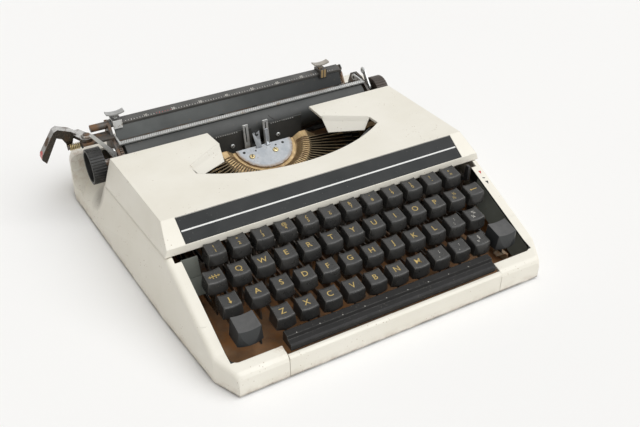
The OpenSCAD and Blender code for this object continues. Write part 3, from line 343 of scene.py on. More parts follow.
finishes = {
    "shell": creamPaint("creamShell", True),
    "cover": creamPaint("creamCover", False),
    "coverSkin": creamPaint("creamSkin", False, 0.0),
    "band": speckled("charcoalBand", (0.0115, 0.013, 0.013), (0.019, 0.02, 0.0195), (0.11, 0.11, 0.1),
                     (0.36, 0.48), grain=420, dustShare=0.35, spec=0.19),
    # the caps' pale edges are partly wear and partly painted highlights
    "keys": speckled("keyBlack", (0.024, 0.024, 0.0232), (0.038, 0.037, 0.0345), (0.18, 0.16, 0.13),
                     (0.22, 0.4), grain=520, cloudScale=60,
                     edgeWearAndHighlight=(0.2, 0.19, 0.17), edge=0.0009, dustShare=0.45, spec=0.46, soft=0.0026),
    # painted light: the shift caps' tops lighter than their sides
    "shiftCaps": twoTone("shiftGrey", (0.022, 0.024, 0.025), (0.078, 0.077, 0.075), (0.045, 0.042, 0.038),
                         (0.4, 0.6), 0.0, (0.6, 0.75), 70, up=(0.6, 0.95)),
    "barBlack": speckled("spaceBarBlack", (0.009, 0.0085, 0.008), (0.015, 0.014, 0.0135),
                         (0.14, 0.13, 0.11), (0.3, 0.45), grain=420, cloudScale=50,
                         edgeWearAndHighlight=(0.11, 0.11, 0.1), edge=0.0008, dustShare=0.4, spec=0.2),
    "knobBlack": speckled("knobBlack", (0.013, 0.013, 0.0125), (0.026, 0.025, 0.0235), (0.12, 0.11, 0.09),
                          (0.35, 0.55), grain=420, cloudScale=70,
                          edgeWearAndHighlight=(0.13, 0.125, 0.11), edge=0.0004, spec=0.36),
    "brownKnob": speckled("brownKnob", (0.032, 0.025, 0.021), (0.055, 0.04, 0.031), (0.15, 0.11, 0.08),
                          (0.35, 0.55), grain=420, cloudScale=70,
                          edgeWearAndHighlight=(0.11, 0.085, 0.065), spec=0.35),
    "carriage": speckled("carriageCharcoal", (0.021, 0.0225, 0.0225), (0.036, 0.038, 0.037),
                         (0.14, 0.1, 0.065), (0.42, 0.6), grain=260, cloudScale=13,
                         edgeWearAndHighlight=(0.14, 0.12, 0.095), spec=0.27, drift=(60, -90, (0.135, 0.142, 0.138))),
    "frameEnds": rustyMetal("endPlateMetal", (0.05, 0.047, 0.043), (0.085, 0.075, 0.065),
                            (0.16, 0.085, 0.04), (0.45, 0.8), (0.46, 0.62), metal=0.25),
    "platen": speckled("platenRubber", (0.046, 0.048, 0.046), (0.062, 0.063, 0.06), (0.14, 0.11, 0.08),
                       (0.46, 0.64), grain=240, cloudScale=22, dustShare=0.4, spec=0.36),
    "rubber": speckled("footRubber", (0.025, 0.025, 0.025), (0.045, 0.044, 0.042), (0.1, 0.09, 0.08),
                       (0.65, 0.85)),
    "steel": rustyMetal("dullSteel", (0.22, 0.21, 0.195), (0.33, 0.31, 0.28), (0.19, 0.1, 0.05),
                        (0.38, 0.75), (0.52, 0.68)),
    "levers": rustyMetal("leverSteel", (0.075, 0.068, 0.06), (0.15, 0.135, 0.115), (0.17, 0.085, 0.04),
                         (0.42, 0.75), (0.48, 0.64), metal=0.6),
    # painted light: the type bars' tops lighter than their sides
    "bars": twoTone("typeBarSteel", (0.022, 0.018, 0.013), (0.21, 0.16, 0.09), (0.07, 0.04, 0.02),
                    (0.4, 0.7), 0.5, up=(0.45, 0.95)),
    # painted highlight: the return lever's tops pale, its sides dark
    "leverChrome": twoTone("leverChrome", (0.055, 0.048, 0.04), (0.58, 0.57, 0.55), (0.085, 0.05, 0.028),
                           (0.26, 0.6), 0.75, (0.5, 0.62), 80,
                           tip=((-183.2, 280, 57.5), 4.2, (0.42, 0.035, 0.03))),
    "plate": platePaint("facePlate", {"base": (0.36, 0.385, 0.41), "other": (0.48, 0.495, 0.51),
                                      "rust": (0.26, 0.17, 0.09), "middle": (0, 228.8, 42.5), "reach": 30,
                                      "rim": (0.1, 0.2)}),
    "leftStop": stopPaint("leftStopPaint", {"wing": (0.42, 0.42, 0.41), "low": (0.8, 0.8, 0.78),
                                            "top": (0.07, 0.068, 0.064), "rust": (0.3, 0.26, 0.21),
                                            "split": 78.2}),
    "rightStop": stopPaint("rightStopPaint", {"legs": (86.5, 0.5, 2.5), "wing": (0.43, 0.4, 0.35),
                                              "low": (0.44, 0.31, 0.15), "top": (0.08, 0.07, 0.06),
                                              "rust": (0.22, 0.12, 0.05), "split": 78.2}),
    "rail": speckled("railCharcoal", (0.052, 0.051, 0.048), (0.075, 0.072, 0.067), (0.2, 0.13, 0.08),
                     (0.42, 0.6), grain=260, cloudScale=45, edgeWearAndHighlight=(0.2, 0.16, 0.12), dustShare=0.55,
                     spec=0.4),
    "card": speckled("cardCharcoal", (0.034, 0.035, 0.033), (0.052, 0.051, 0.047), (0.12, 0.09, 0.06),
                     (0.45, 0.6), grain=260, cloudScale=40, spec=0.35),
    "knobRim": speckled("knobRim", (0.1, 0.1, 0.095), (0.16, 0.155, 0.145), (0.06, 0.05, 0.04), (0.4, 0.55),
                        grain=420, cloudScale=110),
    "ribbonCloth": speckled("ribbonCloth", (0.012, 0.012, 0.013), (0.02, 0.02, 0.021), (0.05, 0.05, 0.05),
                            (0.7, 0.85), grain=900, cloudScale=160, spec=0.2),
    "stripe": speckled("stripeWhite", (0.8, 0.8, 0.78), (0.7, 0.7, 0.68), (0.3, 0.3, 0.29), (0.4, 0.55),
                       grain=700, cloudScale=120, dustShare=0.35),
    "bandEdge": speckled("bandEdge", (0.4, 0.39, 0.35), (0.3, 0.29, 0.26), (0.15, 0.14, 0.12), (0.45, 0.6),
                         grain=500, cloudScale=90),
    "paleMark": speckled("paleMark", (0.66, 0.64, 0.58), (0.46, 0.44, 0.4), (0.18, 0.16, 0.14), (0.45, 0.6),
                         grain=900, cloudScale=240),
    "hatch": rustyMetal("bailHatch", (0.26, 0.26, 0.25), (0.34, 0.335, 0.32), (0.2, 0.16, 0.11), (0.4, 0.6),
                        (0.6, 0.74), metal=0.4),
    "rustWire": rustyMetal("rustWire", (0.26, 0.16, 0.09), (0.36, 0.24, 0.14), (0.24, 0.1, 0.035),
                           (0.45, 0.8), (0.42, 0.6), metal=0.4, scale=150),
    "zinc": rustyMetal("mottledZinc", (0.5, 0.53, 0.57), (0.68, 0.69, 0.7), (0.36, 0.34, 0.3), (0.34, 0.55),
                       (0.58, 0.76), metal=0.75, scale=120),
    "bronze": rustyMetal("segmentBronze", (0.42, 0.29, 0.14), (0.6, 0.44, 0.24), (0.2, 0.11, 0.05),
                         (0.34, 0.68), (0.5, 0.7), scale=110),
    "brass": rustyMetal("springBrass", (0.58, 0.46, 0.22), (0.68, 0.57, 0.32), (0.3, 0.17, 0.07),
                        (0.28, 0.6), (0.55, 0.72), metal=0.9),
    "chrome": rustyMetal("wornChrome", (0.66, 0.66, 0.67), (0.8, 0.8, 0.81), (0.26, 0.18, 0.11), (0.2, 0.6),
                         (0.6, 0.7), metal=0.95, scale=90, bump=0.05),
    "satin": rustyMetal("satinGrey", (0.5, 0.51, 0.5), (0.62, 0.62, 0.6), (0.3, 0.24, 0.17), (0.35, 0.6),
                        (0.6, 0.74), metal=0.55),
    "enamel": speckled("blackEnamel", (0.018, 0.018, 0.018), (0.03, 0.029, 0.028), (0.12, 0.1, 0.08),
                       (0.35, 0.5), edgeWearAndHighlight=(0.1, 0.09, 0.08), grain=320),
    "pan": rustyMetal("brownPan", (0.2, 0.105, 0.05), (0.3, 0.17, 0.085), (0.36, 0.16, 0.055), (0.6, 0.85),
                      (0.44, 0.64), metal=0.05, scale=45, bump=0.3),
    "gold": speckled("legendGold", (0.6, 0.44, 0.15), (0.44, 0.31, 0.1), (0.12, 0.09, 0.05), (0.4, 0.55),
                     grain=900, cloudScale=260, dustShare=0.7),
    "red": speckled("redPaint", (0.56, 0.06, 0.045), (0.44, 0.045, 0.035), (0.25, 0.1, 0.06), (0.35, 0.5),
                    grain=700, cloudScale=120),
    "linerGreen": speckled("linerGreen", (0.15, 0.16, 0.138), (0.105, 0.11, 0.095), (0.15, 0.085, 0.045),
                           (0.4, 0.6), grain=260, cloudScale=34, spec=0.4),
    # black for the dark marks and the hook, and painted shade of slots, slits and holes
    "hole": speckled("deepBlack", (0.006, 0.006, 0.006), (0.012, 0.012, 0.011), (0.03, 0.025, 0.02),
                     (0.7, 0.9)),
    "beige": rustyMetal("beigeStrip", (0.36, 0.31, 0.22), (0.46, 0.4, 0.29), (0.38, 0.15, 0.05), (0.5, 0.8),
                        (0.5, 0.66), metal=0.1),
}

finishNodes = {
    "shell": ["body_shell"], "cover": ["front_strip", "ribbon_cover"], "band": ["cover_band"],
    "pan": ["base_pan"], "rubber": ["feet", "feed_roller"],
    "steel": ["pan_screws", "left_frame", "right_frame", "rear_plate", "key_shaft", "key_comb",
              "carriage_rail", "carriage_truck", "spring_drum", "platen_shaft", "line_ratchet"],
    "keys": ["key_caps_1", "key_caps_2", "key_caps_3", "key_caps_4", "lead_cap", "shift_lock",
             "margin_release", "backspace"],
    "levers": ["key_levers_1", "key_levers_2", "key_levers_3", "key_levers_4", "lead_lever", "space_arms"],
    "shiftCaps": ["left_shift", "right_shift"], "barBlack": ["space_bar"],
    "enamel": ["color_selector", "type_rest", "left_spool", "right_spool"],
    "bronze": ["segment", "escape_wheel"], "plate": ["face_plate"], "bars": ["type_bars", "lead_type_bar"],
    "satin": ["ribbon_vibrator", "paper_bail", "line_space_lever", "release_lever"],
    "card": ["card_holder"], "chrome": ["bell"], "frameEnds": ["carriage_frame"], "platen": ["platen"],
    "knobBlack": ["left_knob"], "brownKnob": ["right_knob"], "carriage": ["paper_table"],
    "rail": ["margin_rail"], "leftStop": ["left_margin_stop"], "rightStop": ["right_margin_stop"],
    "leverChrome": ["return_lever"], "brass": ["lever_spring"],
}


def dressNodes():
    for finish, names in finishNodes.items():
        for name in names:
            nodes[name].data.materials.clear()
            nodes[name].data.materials.append(finishes[finish])


setCamera()
setLight()
dressNodes()
print("camera, light and", len(finishes), "finishes set")

# floor

def makeFloor():
    mat, shader = startFinish("paleFloor")
    half = studio["floorSize"] / 2
    shaded = tuple(c * studio["floorShade"] for c in studio["floor"])
    color = tint(remap(noiseOf(1.2, 2, 0.5), 0.3, 0.7), studio["floor"], shaded)
    setLook(shader, color, 0.9, spec=0.1)
    mesh = bpy.data.meshes.new("paleFloor")
    corners = [(-half, -half, 0), (half, -half, 0), (half, half, 0), (-half, half, 0)]
    mesh.from_pydata(corners, [], [(0, 1, 2, 3)])
    mesh.materials.append(mat)
    floor = bpy.data.objects.new("paleFloor", mesh)
    scene.collection.objects.link(floor)


makeFloor()

# shapes for the small pieces; a part is a list of points and a list of faces

# merge is in metres, skin and dropFrom are in millimetres
shapeLook = {"merge": 1e-7, "skin": 0.07, "downShare": 0.01, "dropFrom": 120, "glyphSteps": 4}
pinpoint = 0.01  # radius in millimetres where a turned shape comes to its middle


def addFace(part, corners):  # one flat face
    verts, faces = part
    faces.append(tuple(range(len(verts), len(verts) + len(corners))))
    verts.extend(corners)


def addGrid(part, rows):  # a sheet through rows of points
    verts, faces = part
    width = len(rows[0])
    for row in rows:
        verts.extend(row)
    for i in range(len(rows) - 1):
        for k in range(width - 1):
            a, b = i * width + k, (i + 1) * width + k
            faces.append((a, a + 1, b + 1, b))


def slab(part, corners, push):  # a flat outline pushed out to a plate
    verts, faces = part
    start, count = len(verts), len(corners)
    verts += [Vector(c) for c in corners] + [Vector(c) + push for c in corners]
    faces.append(tuple(start + i for i in reversed(range(count))))
    faces.append(tuple(start + count + i for i in range(count)))
    for i in range(count):
        j = (i + 1) % count
        faces.append((start + i, start + j, start + count + j, start + count + i))


def around(side, other, i, steps):  # direction i of steps around an axis
    turn = 2 * math.pi * i / steps
    return side * math.cos(turn) + other * math.sin(turn)


def joinRings(faces, start, rings, steps):
    for row in range(rings - 1):
        a, b = start + row * steps, start + (row + 1) * steps
        for i in range(steps):
            j = (i + 1) % steps
            faces.append((a + i, a + j, b + j, b + i))


def lathe(part, center, axis, profile, steps):  # profile: radius and height in millimetres
    verts, faces = part
    axis = Vector(axis).normalized()
    side = axis.orthogonal().normalized()
    other = axis.cross(side)
    start = len(verts)
    for radius, height in profile:
        for i in range(steps):
            verts.append(center + axis * height * mm + around(side, other, i, steps) * radius * mm)
    joinRings(faces, start, len(profile), steps)


def tube(part, points, radius, sides=8):
    verts, faces = part
    start, last = len(verts), len(points) - 1
    for k, point in enumerate(points):
        ahead = (points[min(k + 1, last)] - points[max(k - 1, 0)]).normalized()
        side = ahead.cross(Vector((0.31, 0.87, 0.38))).normalized()  # any direction that no tube follows
        other = ahead.cross(side)
        for i in range(sides):
            verts.append(point + around(side, other, i, sides) * radius * mm)
    joinRings(faces, start, len(points), sides)
    faces.append(tuple(start + i for i in reversed(range(sides))))
    faces.append(tuple(start + last * sides + i for i in range(sides)))


def sheetsOf(work):  # groups of faces that hang together
    groups = []
    for face in work.faces:
        face.tag = False
    for seed in work.faces:
        if seed.tag:
            continue
        seed.tag = True
        group = [seed]
        for face in group:
            for other in (f for edge in face.edges for f in edge.link_faces):
                if not other.tag:
                    other.tag = True
                    group.append(other)
        groups.append(group)
    return groups


def closeSheet(work, sheet, depth):  # a back and a rim on the hidden side
    facing = sum((face.normal * face.calc_area() for face in sheet), Vector())
    if facing.z < -shapeLook["downShare"] * facing.length:
        bmesh.ops.reverse_faces(work, faces=sheet)
    work.normal_update()
    loops = [loop for face in sheet for loop in face.loops if loop.edge.is_boundary]
    rim = [(loop.vert, loop.link_loop_next.vert) for loop in loops]
    backs = {}
    for vert in (v for face in sheet for v in face.verts):
        if vert not in backs:
            backs[vert] = work.verts.new(vert.co - vert.normal * depth * mm)
    for face in sheet:
        work.faces.new([backs[v] for v in reversed(face.verts[:])])
    for a, b in rim:
        side = work.faces.new((b, a, backs[a], backs[b]))
        for edge in side.edges:  # the visible border stays crisp
            edge.smooth = edge.verts[0] not in backs and edge.verts[1] not in backs


def addPiece(name, part, finish, body, smooth=False, depth=shapeLook["skin"]):  # depth: of open sheets
    mesh = bpy.data.meshes.new(name)
    mesh.from_pydata([tuple(v) for v in part[0]], [], part[1])
    work = bmesh.new()
    work.from_mesh(mesh)
    bmesh.ops.remove_doubles(work, verts=work.verts, dist=shapeLook["merge"])
    bmesh.ops.recalc_face_normals(work, faces=work.faces)
    for sheet in sheetsOf(work):
        if any(edge.is_boundary for face in sheet for edge in face.edges):
            closeSheet(work, sheet, depth)
    work.to_mesh(mesh)
    work.free()
    if smooth:
        for face in mesh.polygons:
            face.use_smooth = True
    mesh.materials.append(finishes[finish])
    obj = bpy.data.objects.new(name, mesh)
    scene.collection.objects.link(obj)
    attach(obj, body)


def surfaceOf(name):
    obj = nodes[name]
    points = [obj.matrix_world @ v.co for v in obj.data.vertices]
    return BVHTree.FromPolygons(points, [tuple(p.vertices) for p in obj.data.polygons])


def dropOn(surface, x, y, lift):  # the point on a surface straight below x, y
    start = at(x, y, shapeLook["dropFrom"])
    hit = surface.ray_cast(start, Vector((0, 0, -1)))[0]
    return (hit if hit else start) + Vector((0, 0, lift * mm))


glyphStore = {}


def glyphOf(text, size, bold):  # flat letter shapes from the built-in font, in millimetres
    key = (text, size, bold)
    if key not in glyphStore:
        curve = bpy.data.curves.new("glyph", "FONT")
        curve.body = text
        curve.size = size
        curve.offset = bold
        curve.resolution_u = shapeLook["glyphSteps"]
        curve.align_x = "CENTER"
        curve.align_y = "CENTER"
        obj = bpy.data.objects.new("glyph", curve)
        scene.collection.objects.link(obj)
        mesh = obj.to_mesh()
        points = [(v.co.x, v.co.y) for v in mesh.vertices]
        glyphStore[key] = (points, [tuple(p.vertices) for p in mesh.polygons])
        obj.to_mesh_clear()
        bpy.data.objects.remove(obj)
        bpy.data.curves.remove(curve)
    return glyphStore[key]


def printOn(part, shape, mapping):
    verts, faces = part
    start = len(verts)
    verts += [mapping(u, v) for u, v in shape[0]]
    faces += [tuple(start + i for i in face) for face in shape[1]]


# key legends: upper and lower mark of each key, from the back row to the front row

keyPlan = {"pitch": 19.05, "firstX": -104.775, "quarters": (0, 2, 3, 5), "rowY": (91.1, 70.9, 50.7, 30.5),
           "letter": 6.9, "pair": 4.3, "pairStep": 2.4, "pairLean": 0.55, "pairRise": 0.8,
           "lift": 0.05, "signLift": 0.12, "bold": 0.05, "lead": (1, 5)}  # lead: row and key
legendRows = [
    [("!", "1"), ("\"", "2"), ("/", "3"), ("@", "4"), ("£", "5"), ("_", "6"),
     ("&", "7"), ("'", "8"), ("(", "9"), (")", "0"), ("?", "-"), ("+", "=")],
    ["Q", "W", "E", "R", "T", "Y", "U", "I", "O", "P", ("¼", "½")],
    ["A", "S", "D", "F", "G", "H", "J", "K", "L", (":", ";"), ("%", "¾")],
    ["Z", "X", "C", "V", "B", "N", "M", (";", ","), (":", "."), ("§", "=")],
]
signPlan = {
    "margin_release": {"body": "margin_release_key", "place": (-114.3, 70.9), "outlines": [
        [(-4.6, 0), (-2.9, 1.2), (-2.9, 0.35), (2.9, 0.35), (2.9, 1.2),
         (4.6, 0), (2.9, -1.2), (2.9, -0.35), (-2.9, -0.35), (-2.9, -1.2)],
        [(-1.5, -1.9), (-0.8, -1.9), (-0.8, 1.9), (-1.5, 1.9)],
        [(0.8, -1.9), (1.5, -1.9), (1.5, 1.9), (0.8, 1.9)]]},
    "shift_lock": {"body": "shift_lock_key", "place": (-111.9, 50.7), "outlines": [
        [(-0.45, 3), (0.45, 3), (0.45, -1), (1.35, -1), (0, -3.1), (-1.35, -1), (-0.45, -1)]]},
    "backspace": {"body": "backspace_key", "place": (114.3, 70.9), "outlines": [
        [(-3.4, 0), (-1.8, 1.15), (-1.8, 0.4), (3.4, 0.4), (3.4, -0.4), (-1.8, -0.4), (-1.8, -1.15)]]},
}


def printKey(part, surface, row, k, leaning):  # leaning: the upper mark stands right of the lower one
    mark = legendRows[row][k]
    x = keyPlan["firstX"] + (keyPlan["quarters"][row] / 4 + k) * keyPlan["pitch"]
    y = keyPlan["rowY"][row]
    if isinstance(mark, str):
        shapes = [(glyphOf(mark, keyPlan["letter"], keyPlan["bold"]), 0)]
    else:
        upper, lower = (glyphOf(m, keyPlan["pair"], keyPlan["bold"]) for m in mark)
        shapes = [(upper, keyPlan["pairStep"]), (lower, -keyPlan["pairStep"])]
    for shape, shift in shapes:
        side = shift * keyPlan["pairLean"] if leaning else 0
        rise = shift * keyPlan["pairRise"]
        printOn(part, shape, lambda u, v: dropOn(surface, x + u + side, y + v + rise, keyPlan["lift"]))


def makeLegends():
    for row, marks in enumerate(legendRows):
        surface = surfaceOf("key_caps_%d" % (row + 1))
        lettered, pale = ([], []), ([], [])
        for k, mark in enumerate(marks):
            if (row, k) == keyPlan["lead"]:
                continue
            worn = row > 1 and not isinstance(mark, str)  # paired marks of the two front rows are paler
            printKey(pale if worn else lettered, surface, row, k, row > 0)
        addPiece("legends_%d" % (row + 1), lettered, "gold", "key_row_%d" % (row + 1))
        if pale[0]:
            addPiece("pale_legends_%d" % (row + 1), pale, "paleMark", "key_row_%d" % (row + 1))
    lead = ([], [])
    printKey(lead, surfaceOf("lead_cap"), *keyPlan["lead"], False)
    addPiece("lead_legend", lead, "gold", "lead_key")


def makeSigns():
    for node, sign in signPlan.items():
        part, surface, (x, y) = ([], []), surfaceOf(node), sign["place"]
        for outline in sign["outlines"]:
            addFace(part, [dropOn(surface, x + u, y + v, keyPlan["signLift"]) for u, v in outline])
        addPiece(node + "_sign", part, "gold", sign["body"])


makeLegends()
makeSigns()
print("legends printed on the keys")

# ribbon cover: stripe on the band and the pale edge above it

bandLook = {"low": (99.2, 61.5), "top": (119.2, 73.5), "half": 122.4, "stripe": (0.445, 0.5),
            "edge": (0.955, 0.985), "lift": 0.06, "parts": 24}


def bandStrip(name, share, finish):
    low, top = Vector(bandLook["low"]), Vector(bandLook["top"])
    run = (top - low).normalized()
    out = Vector((-run[1], run[0])) * bandLook["lift"]
    a, b = low.lerp(top, share[0]) + out, low.lerp(top, share[1]) + out
    part, half, parts = ([], []), bandLook["half"], bandLook["parts"]
    for i in range(parts):
        x0, x1 = -half + 2 * half * i / parts, -half + 2 * half * (i + 1) / parts
        addFace(part, [at(x0, *a), at(x1, *a), at(x1, *b), at(x0, *b)])
    addPiece(name, part, finish, "cover")


bandStrip("band_stripe", bandLook["stripe"], "stripe")
bandStrip("band_upper_edge", bandLook["edge"], "bandEdge")

# folds of the cover's horns; rows: share of the way down and how far the skin sinks there

foldLook = {"depth": 1.2, "crease": (49.0, 209.3, 67.37), "horn": (85.0, 184.8, 69.04),
            "down": (-3, -8.5, -10.5), "rows": ((-0.06, 0.0), (0.02, 0.06), (0.14, 0.3), (0.27, 0.46)),
            "count": 14, "ends": (0.03, 0.94), "reach": (0.85, 1.05), "slant": (6, 11), "lift": 0.05}


def makeFolds():  # paint drawn smoothly over the fold of each horn
    for name, sign in (("left_fold", -1), ("right_fold", 1)):
        (ax, ay, az), (bx, by, bz) = foldLook["crease"], foldLook["horn"]
        a, b = at(sign * ax, ay, az), at(sign * bx, by, bz)
        dx, dy, dz = foldLook["down"]
        down = Vector((sign * dx, dy, dz)) * mm
        along = (a - b).normalized()
        face = along.cross(down).normalized()
        face = face if face[2] > 0 else -face
        first, whole = foldLook["ends"]
        near, far = foldLook["reach"]
        lean, turn = foldLook["slant"]
        rows = []
        for i in range(foldLook["count"] + 1):
            share = first + whole * i / foldLook["count"]
            run = down * (near + (far - near) * share) + along * (lean - turn * share) * mm
            start, row = b.lerp(a, share), []
            for step, sink in foldLook["rows"]:
                out = face if step > 0 else Vector((0, 0, 1))
                row.append(start + run * step + out * (foldLook["lift"] - sink) * mm)
            rows.append(row)
        part = ([], [])
        addGrid(part, rows)
        addPiece(name, part, "coverSkin", "cover", True, foldLook["depth"])


makeFolds()

# line space lever's bar, and the caps at the carriage's right end

leverBar = {"low": (-128.0, 59.5), "top": (-145.4, 82.7), "half": 1.7, "y": 249.2, "thick": 0.6,
            "shoulder": 0.9, "tipHalf": 0.45, "tipRise": 0.7}


def makeLeverBar():
    part = ([], [])
    low, top = Vector(leverBar["low"]), Vector(leverBar["top"])
    run = (top - low).normalized()
    side = Vector((-run[1], run[0])) * leverBar["half"]
    wide, narrow, rise = side * leverBar["shoulder"], side * leverBar["tipHalf"], run * leverBar["tipRise"]
    outline = [low + side, low - side, top - wide, top - narrow + rise, top + narrow + rise, top + wide]
    slab(part, [at(x, leverBar["y"], z) for x, z in outline], Vector((0, -leverBar["thick"] * mm, 0)))
    addPiece("line_space_bar", part, "satin", "line_space")


capPlan = {"wall": 0.8, "shoulder": (0.78, 1.3), "height": 1.45, "steps": 24,
           "rail_cap": {"place": (107.5, 277, 73.6), "axis": (1, 0, 0), "radius": 3.0, "body": "carriage"},
           "release_pad": {"place": (126.65, 264.3, 71.4), "axis": (-1, 0, 0), "radius": 3.3,
                           "body": "release"}}


def makeEndCaps():
    share, rise = capPlan["shoulder"]
    for name in ("rail_cap", "release_pad"):
        part, cap = ([], []), capPlan[name]
        radius = cap["radius"]
        profile = [(radius, 0), (radius, capPlan["wall"]), (radius * share, rise),
                   (pinpoint, capPlan["height"])]
        lathe(part, at(*cap["place"]), cap["axis"], profile, capPlan["steps"])
        addPiece(name, part, "satin", cap["body"], True)


# printed scale on the margin rail

scaleLook = {"zero": -116.4, "step": 2.58, "marks": (3, 84), "face": ((273.3, 73.5), (276.8, 75.7)),
             "share": 0.3, "dot": (0.26, 0.42), "longDot": 1.7, "longEvery": 5, "numberEvery": 10,
             "red": (14, 19), "digit": 3.4, "bold": 0.08, "digitRise": 0.45, "lift": 0.05}


def scalePoint(x, along):  # along: millimetres up the rail's sloping face
    low, top = (Vector(p) for p in scaleLook["face"])
    run = (top - low).normalized()
    out = Vector((-run[1], run[0])) * scaleLook["lift"]
    return at(x, *(low + (top - low) * scaleLook["share"] + run * along + out))


def makeScale():
    dots, digits, red = ([], []), ([], []), ([], [])
    for i in range(*scaleLook["marks"]):
        x = scaleLook["zero"] + i * scaleLook["step"]
        if i % scaleLook["numberEvery"] == 0:
            number = glyphOf(str(i), scaleLook["digit"], scaleLook["bold"])
            printOn(digits, number, lambda u, v: scalePoint(x + u, v + scaleLook["digitRise"]))
            continue
        w, h = scaleLook["dot"]
        h = h * (scaleLook["longDot"] if i % scaleLook["longEvery"] == 0 else 1)
        reddish = scaleLook["red"][0] <= i <= scaleLook["red"][1]
        corners = ((x - w, -h), (x + w, -h), (x + w, h), (x - w, h))
        addFace(red if reddish else dots, [scalePoint(*c) for c in corners])
    addPiece("scale_dots", dots, "paleMark", "carriage")
    addPiece("scale_digits", digits, "paleMark", "carriage")
    addPiece("scale_red_dots", red, "red", "carriage")


# hatching on the bail

bailLook = {"half": 120.5, "y": (253.6, 257.6), "z": 65.03, "pitch": 2.05, "width": 0.62, "lean": 1.5}


def makeBailHatch():
    part = ([], [])
    (front, back), z = bailLook["y"], bailLook["z"]
    width, lean = bailLook["width"], bailLook["lean"]
    corners = ((0, front), (width, front), (width + lean, back), (lean, back))
    for i in range(int(2 * bailLook["half"] / bailLook["pitch"])):
        x = -bailLook["half"] + i * bailLook["pitch"]
        addFace(part, [at(x + dx, y, z) for dx, y in corners])
    addPiece("bail_hatch", part, "hatch", "bail")


# spring at the carriage's right end; span: where its coil starts and how much of the way it takes

springLook = {"top": (107.9, 277.3, 71.2), "low": (114.5, 279.5, 50.3), "turns": 13, "radius": 1.5,
              "wire": 0.32, "hook": 2.2, "span": (0.14, 0.72), "turnSteps": 12, "sides": 6}


def makeEndSpring():
    top, low = at(*springLook["top"]), at(*springLook["low"])
    ahead = (low - top).normalized()
    side = ahead.orthogonal().normalized()
    other = ahead.cross(side)
    hook = springLook["hook"]
    first, whole = springLook["span"]
    steps = springLook["turnSteps"] * springLook["turns"]
    points = [top, top + ahead * hook * mm]
    for i in range(steps + 1):
        out = around(side, other, i, springLook["turnSteps"]) * springLook["radius"] * mm
        points.append(top.lerp(low, first + whole * i / steps) + out)
    points += [low - ahead * hook * mm, low]
    part = ([], [])
    tube(part, points, springLook["wire"], springLook["sides"])
    addPiece("end_spring", part, "rustWire", "carriage", True)


# six-sided nut on the return lever's pin

nutLook = {"place": (-145.5, 267.8, 71.95), "radius": 4.3, "height": 1.9, "bore": 2.6,
           "chamfer": (0.82, 0.75), "sides": 6}


def makeLeverNut():
    part, radius, height, bore = ([], []), nutLook["radius"], nutLook["height"], nutLook["bore"]
    share, rise = nutLook["chamfer"]
    outside = [(radius, 0), (radius, height * rise), (radius * share, height)]
    profile = [(bore, 0)] + outside + [(bore, height), (bore, 0)]
    lathe(part, at(*nutLook["place"]), (0, 0, 1), profile, nutLook["sides"])
    addPiece("lever_nut", part, "steel", "carriage")


makeLeverBar()
makeEndCaps()
makeScale()
makeBailHatch()
makeEndSpring()
makeLeverNut()
print("cover and carriage dressed")

# slotted screws: a turned head and a black strip across it as painted shade of the slot; shares of the head's
# radius and height

headLook = {"profile": ((1, 0), (1, 0.55), (0.8, 0.92), (0.45, 1)), "slot": (0.86, 0.17), "slotShare": 0.8,
            "slotLift": 0.03, "steps": 20}


def screwHead(part, slots, center, axis, size, turn):
    radius, height = size
    axis = Vector(axis).normalized()
    profile = [(radius * out, height * up) for out, up in headLook["profile"]] + [(pinpoint, height)]
    lathe(part, center, axis, profile, headLook["steps"])
    side = Matrix.Rotation(math.radians(turn), 3, axis) @ axis.orthogonal().normalized()
    other = axis.cross(side)
    top = center + axis * (height + headLook["slotLift"]) * mm
    long, wide = headLook["slot"]
    corners = ((-long, -wide), (long, -wide), (long, wide), (-long, wide))
    share = headLook["slotShare"]
    addFace(slots, [top + side * a * radius * mm * share + other * b * radius * mm for a, b in corners])


segmentLook = {"middle": (0, 228.8, 41.5), "tilt": 18, "plate": 1.6}


def onPlate(x, y, h):  # sideways, back from the plate's straight edge, above the segment's face
    tilt = math.radians(segmentLook["tilt"])
    y0, z0 = segmentLook["middle"][1:]
    return at(x, y0 + y * math.cos(tilt) - h * math.sin(tilt), z0 + y * math.sin(tilt) + h * math.cos(tilt))


plateUp = (onPlate(0, 0, 1) - onPlate(0, 0, 0)).normalized()
screwPlan = {"plate": [(-15.6, -10.6, 35), (7.8, -9.9, 70)], "plateSize": (2.6, 1.1), "plateLift": 0.02,
             "card": [(-25.1, 42.5, 20), (20.6, 42.1, 80)], "cardSize": (2.1, 1.3), "cardY": 239.38,
             "holes": [(-20.5, -4.0, 1.35), (17.8, -3.8, 1.3), (10.5, -4.4, 0.9), (-9.6, -5.2, 0.8)],
             "holeLift": 0.03, "holeFloor": 0.7, "holeRise": 0.02, "holeSteps": 16}


def makeBasketScrews():
    brass, slots, card, holes = ([], []), ([], []), ([], []), ([], [])
    plate = segmentLook["plate"]
    for x, y, turn in screwPlan["plate"]:
        center = onPlate(x, y, plate + screwPlan["plateLift"])
        screwHead(brass, slots, center, plateUp, screwPlan["plateSize"], turn)
    for x, z, turn in screwPlan["card"]:
        screwHead(card, slots, at(x, screwPlan["cardY"], z), (0, -1, 0), screwPlan["cardSize"], turn)
    # black discs on the plate: painted shade of its holes
    for x, y, radius in screwPlan["holes"]:
        profile = [(pinpoint, 0), (radius * screwPlan["holeFloor"], 0), (radius, screwPlan["holeRise"])]
        lathe(holes, onPlate(x, y, plate + screwPlan["holeLift"]), plateUp, profile, screwPlan["holeSteps"])
    addPiece("plate_screws", brass, "brass", "chassis", True)
    addPiece("card_screws", card, "satin", "chassis", True)
    addPiece("screw_slots", slots, "hole", "chassis")
    addPiece("plate_holes", holes, "hole", "chassis")


# type guide: two leaning posts with a hook and an eye on the left one

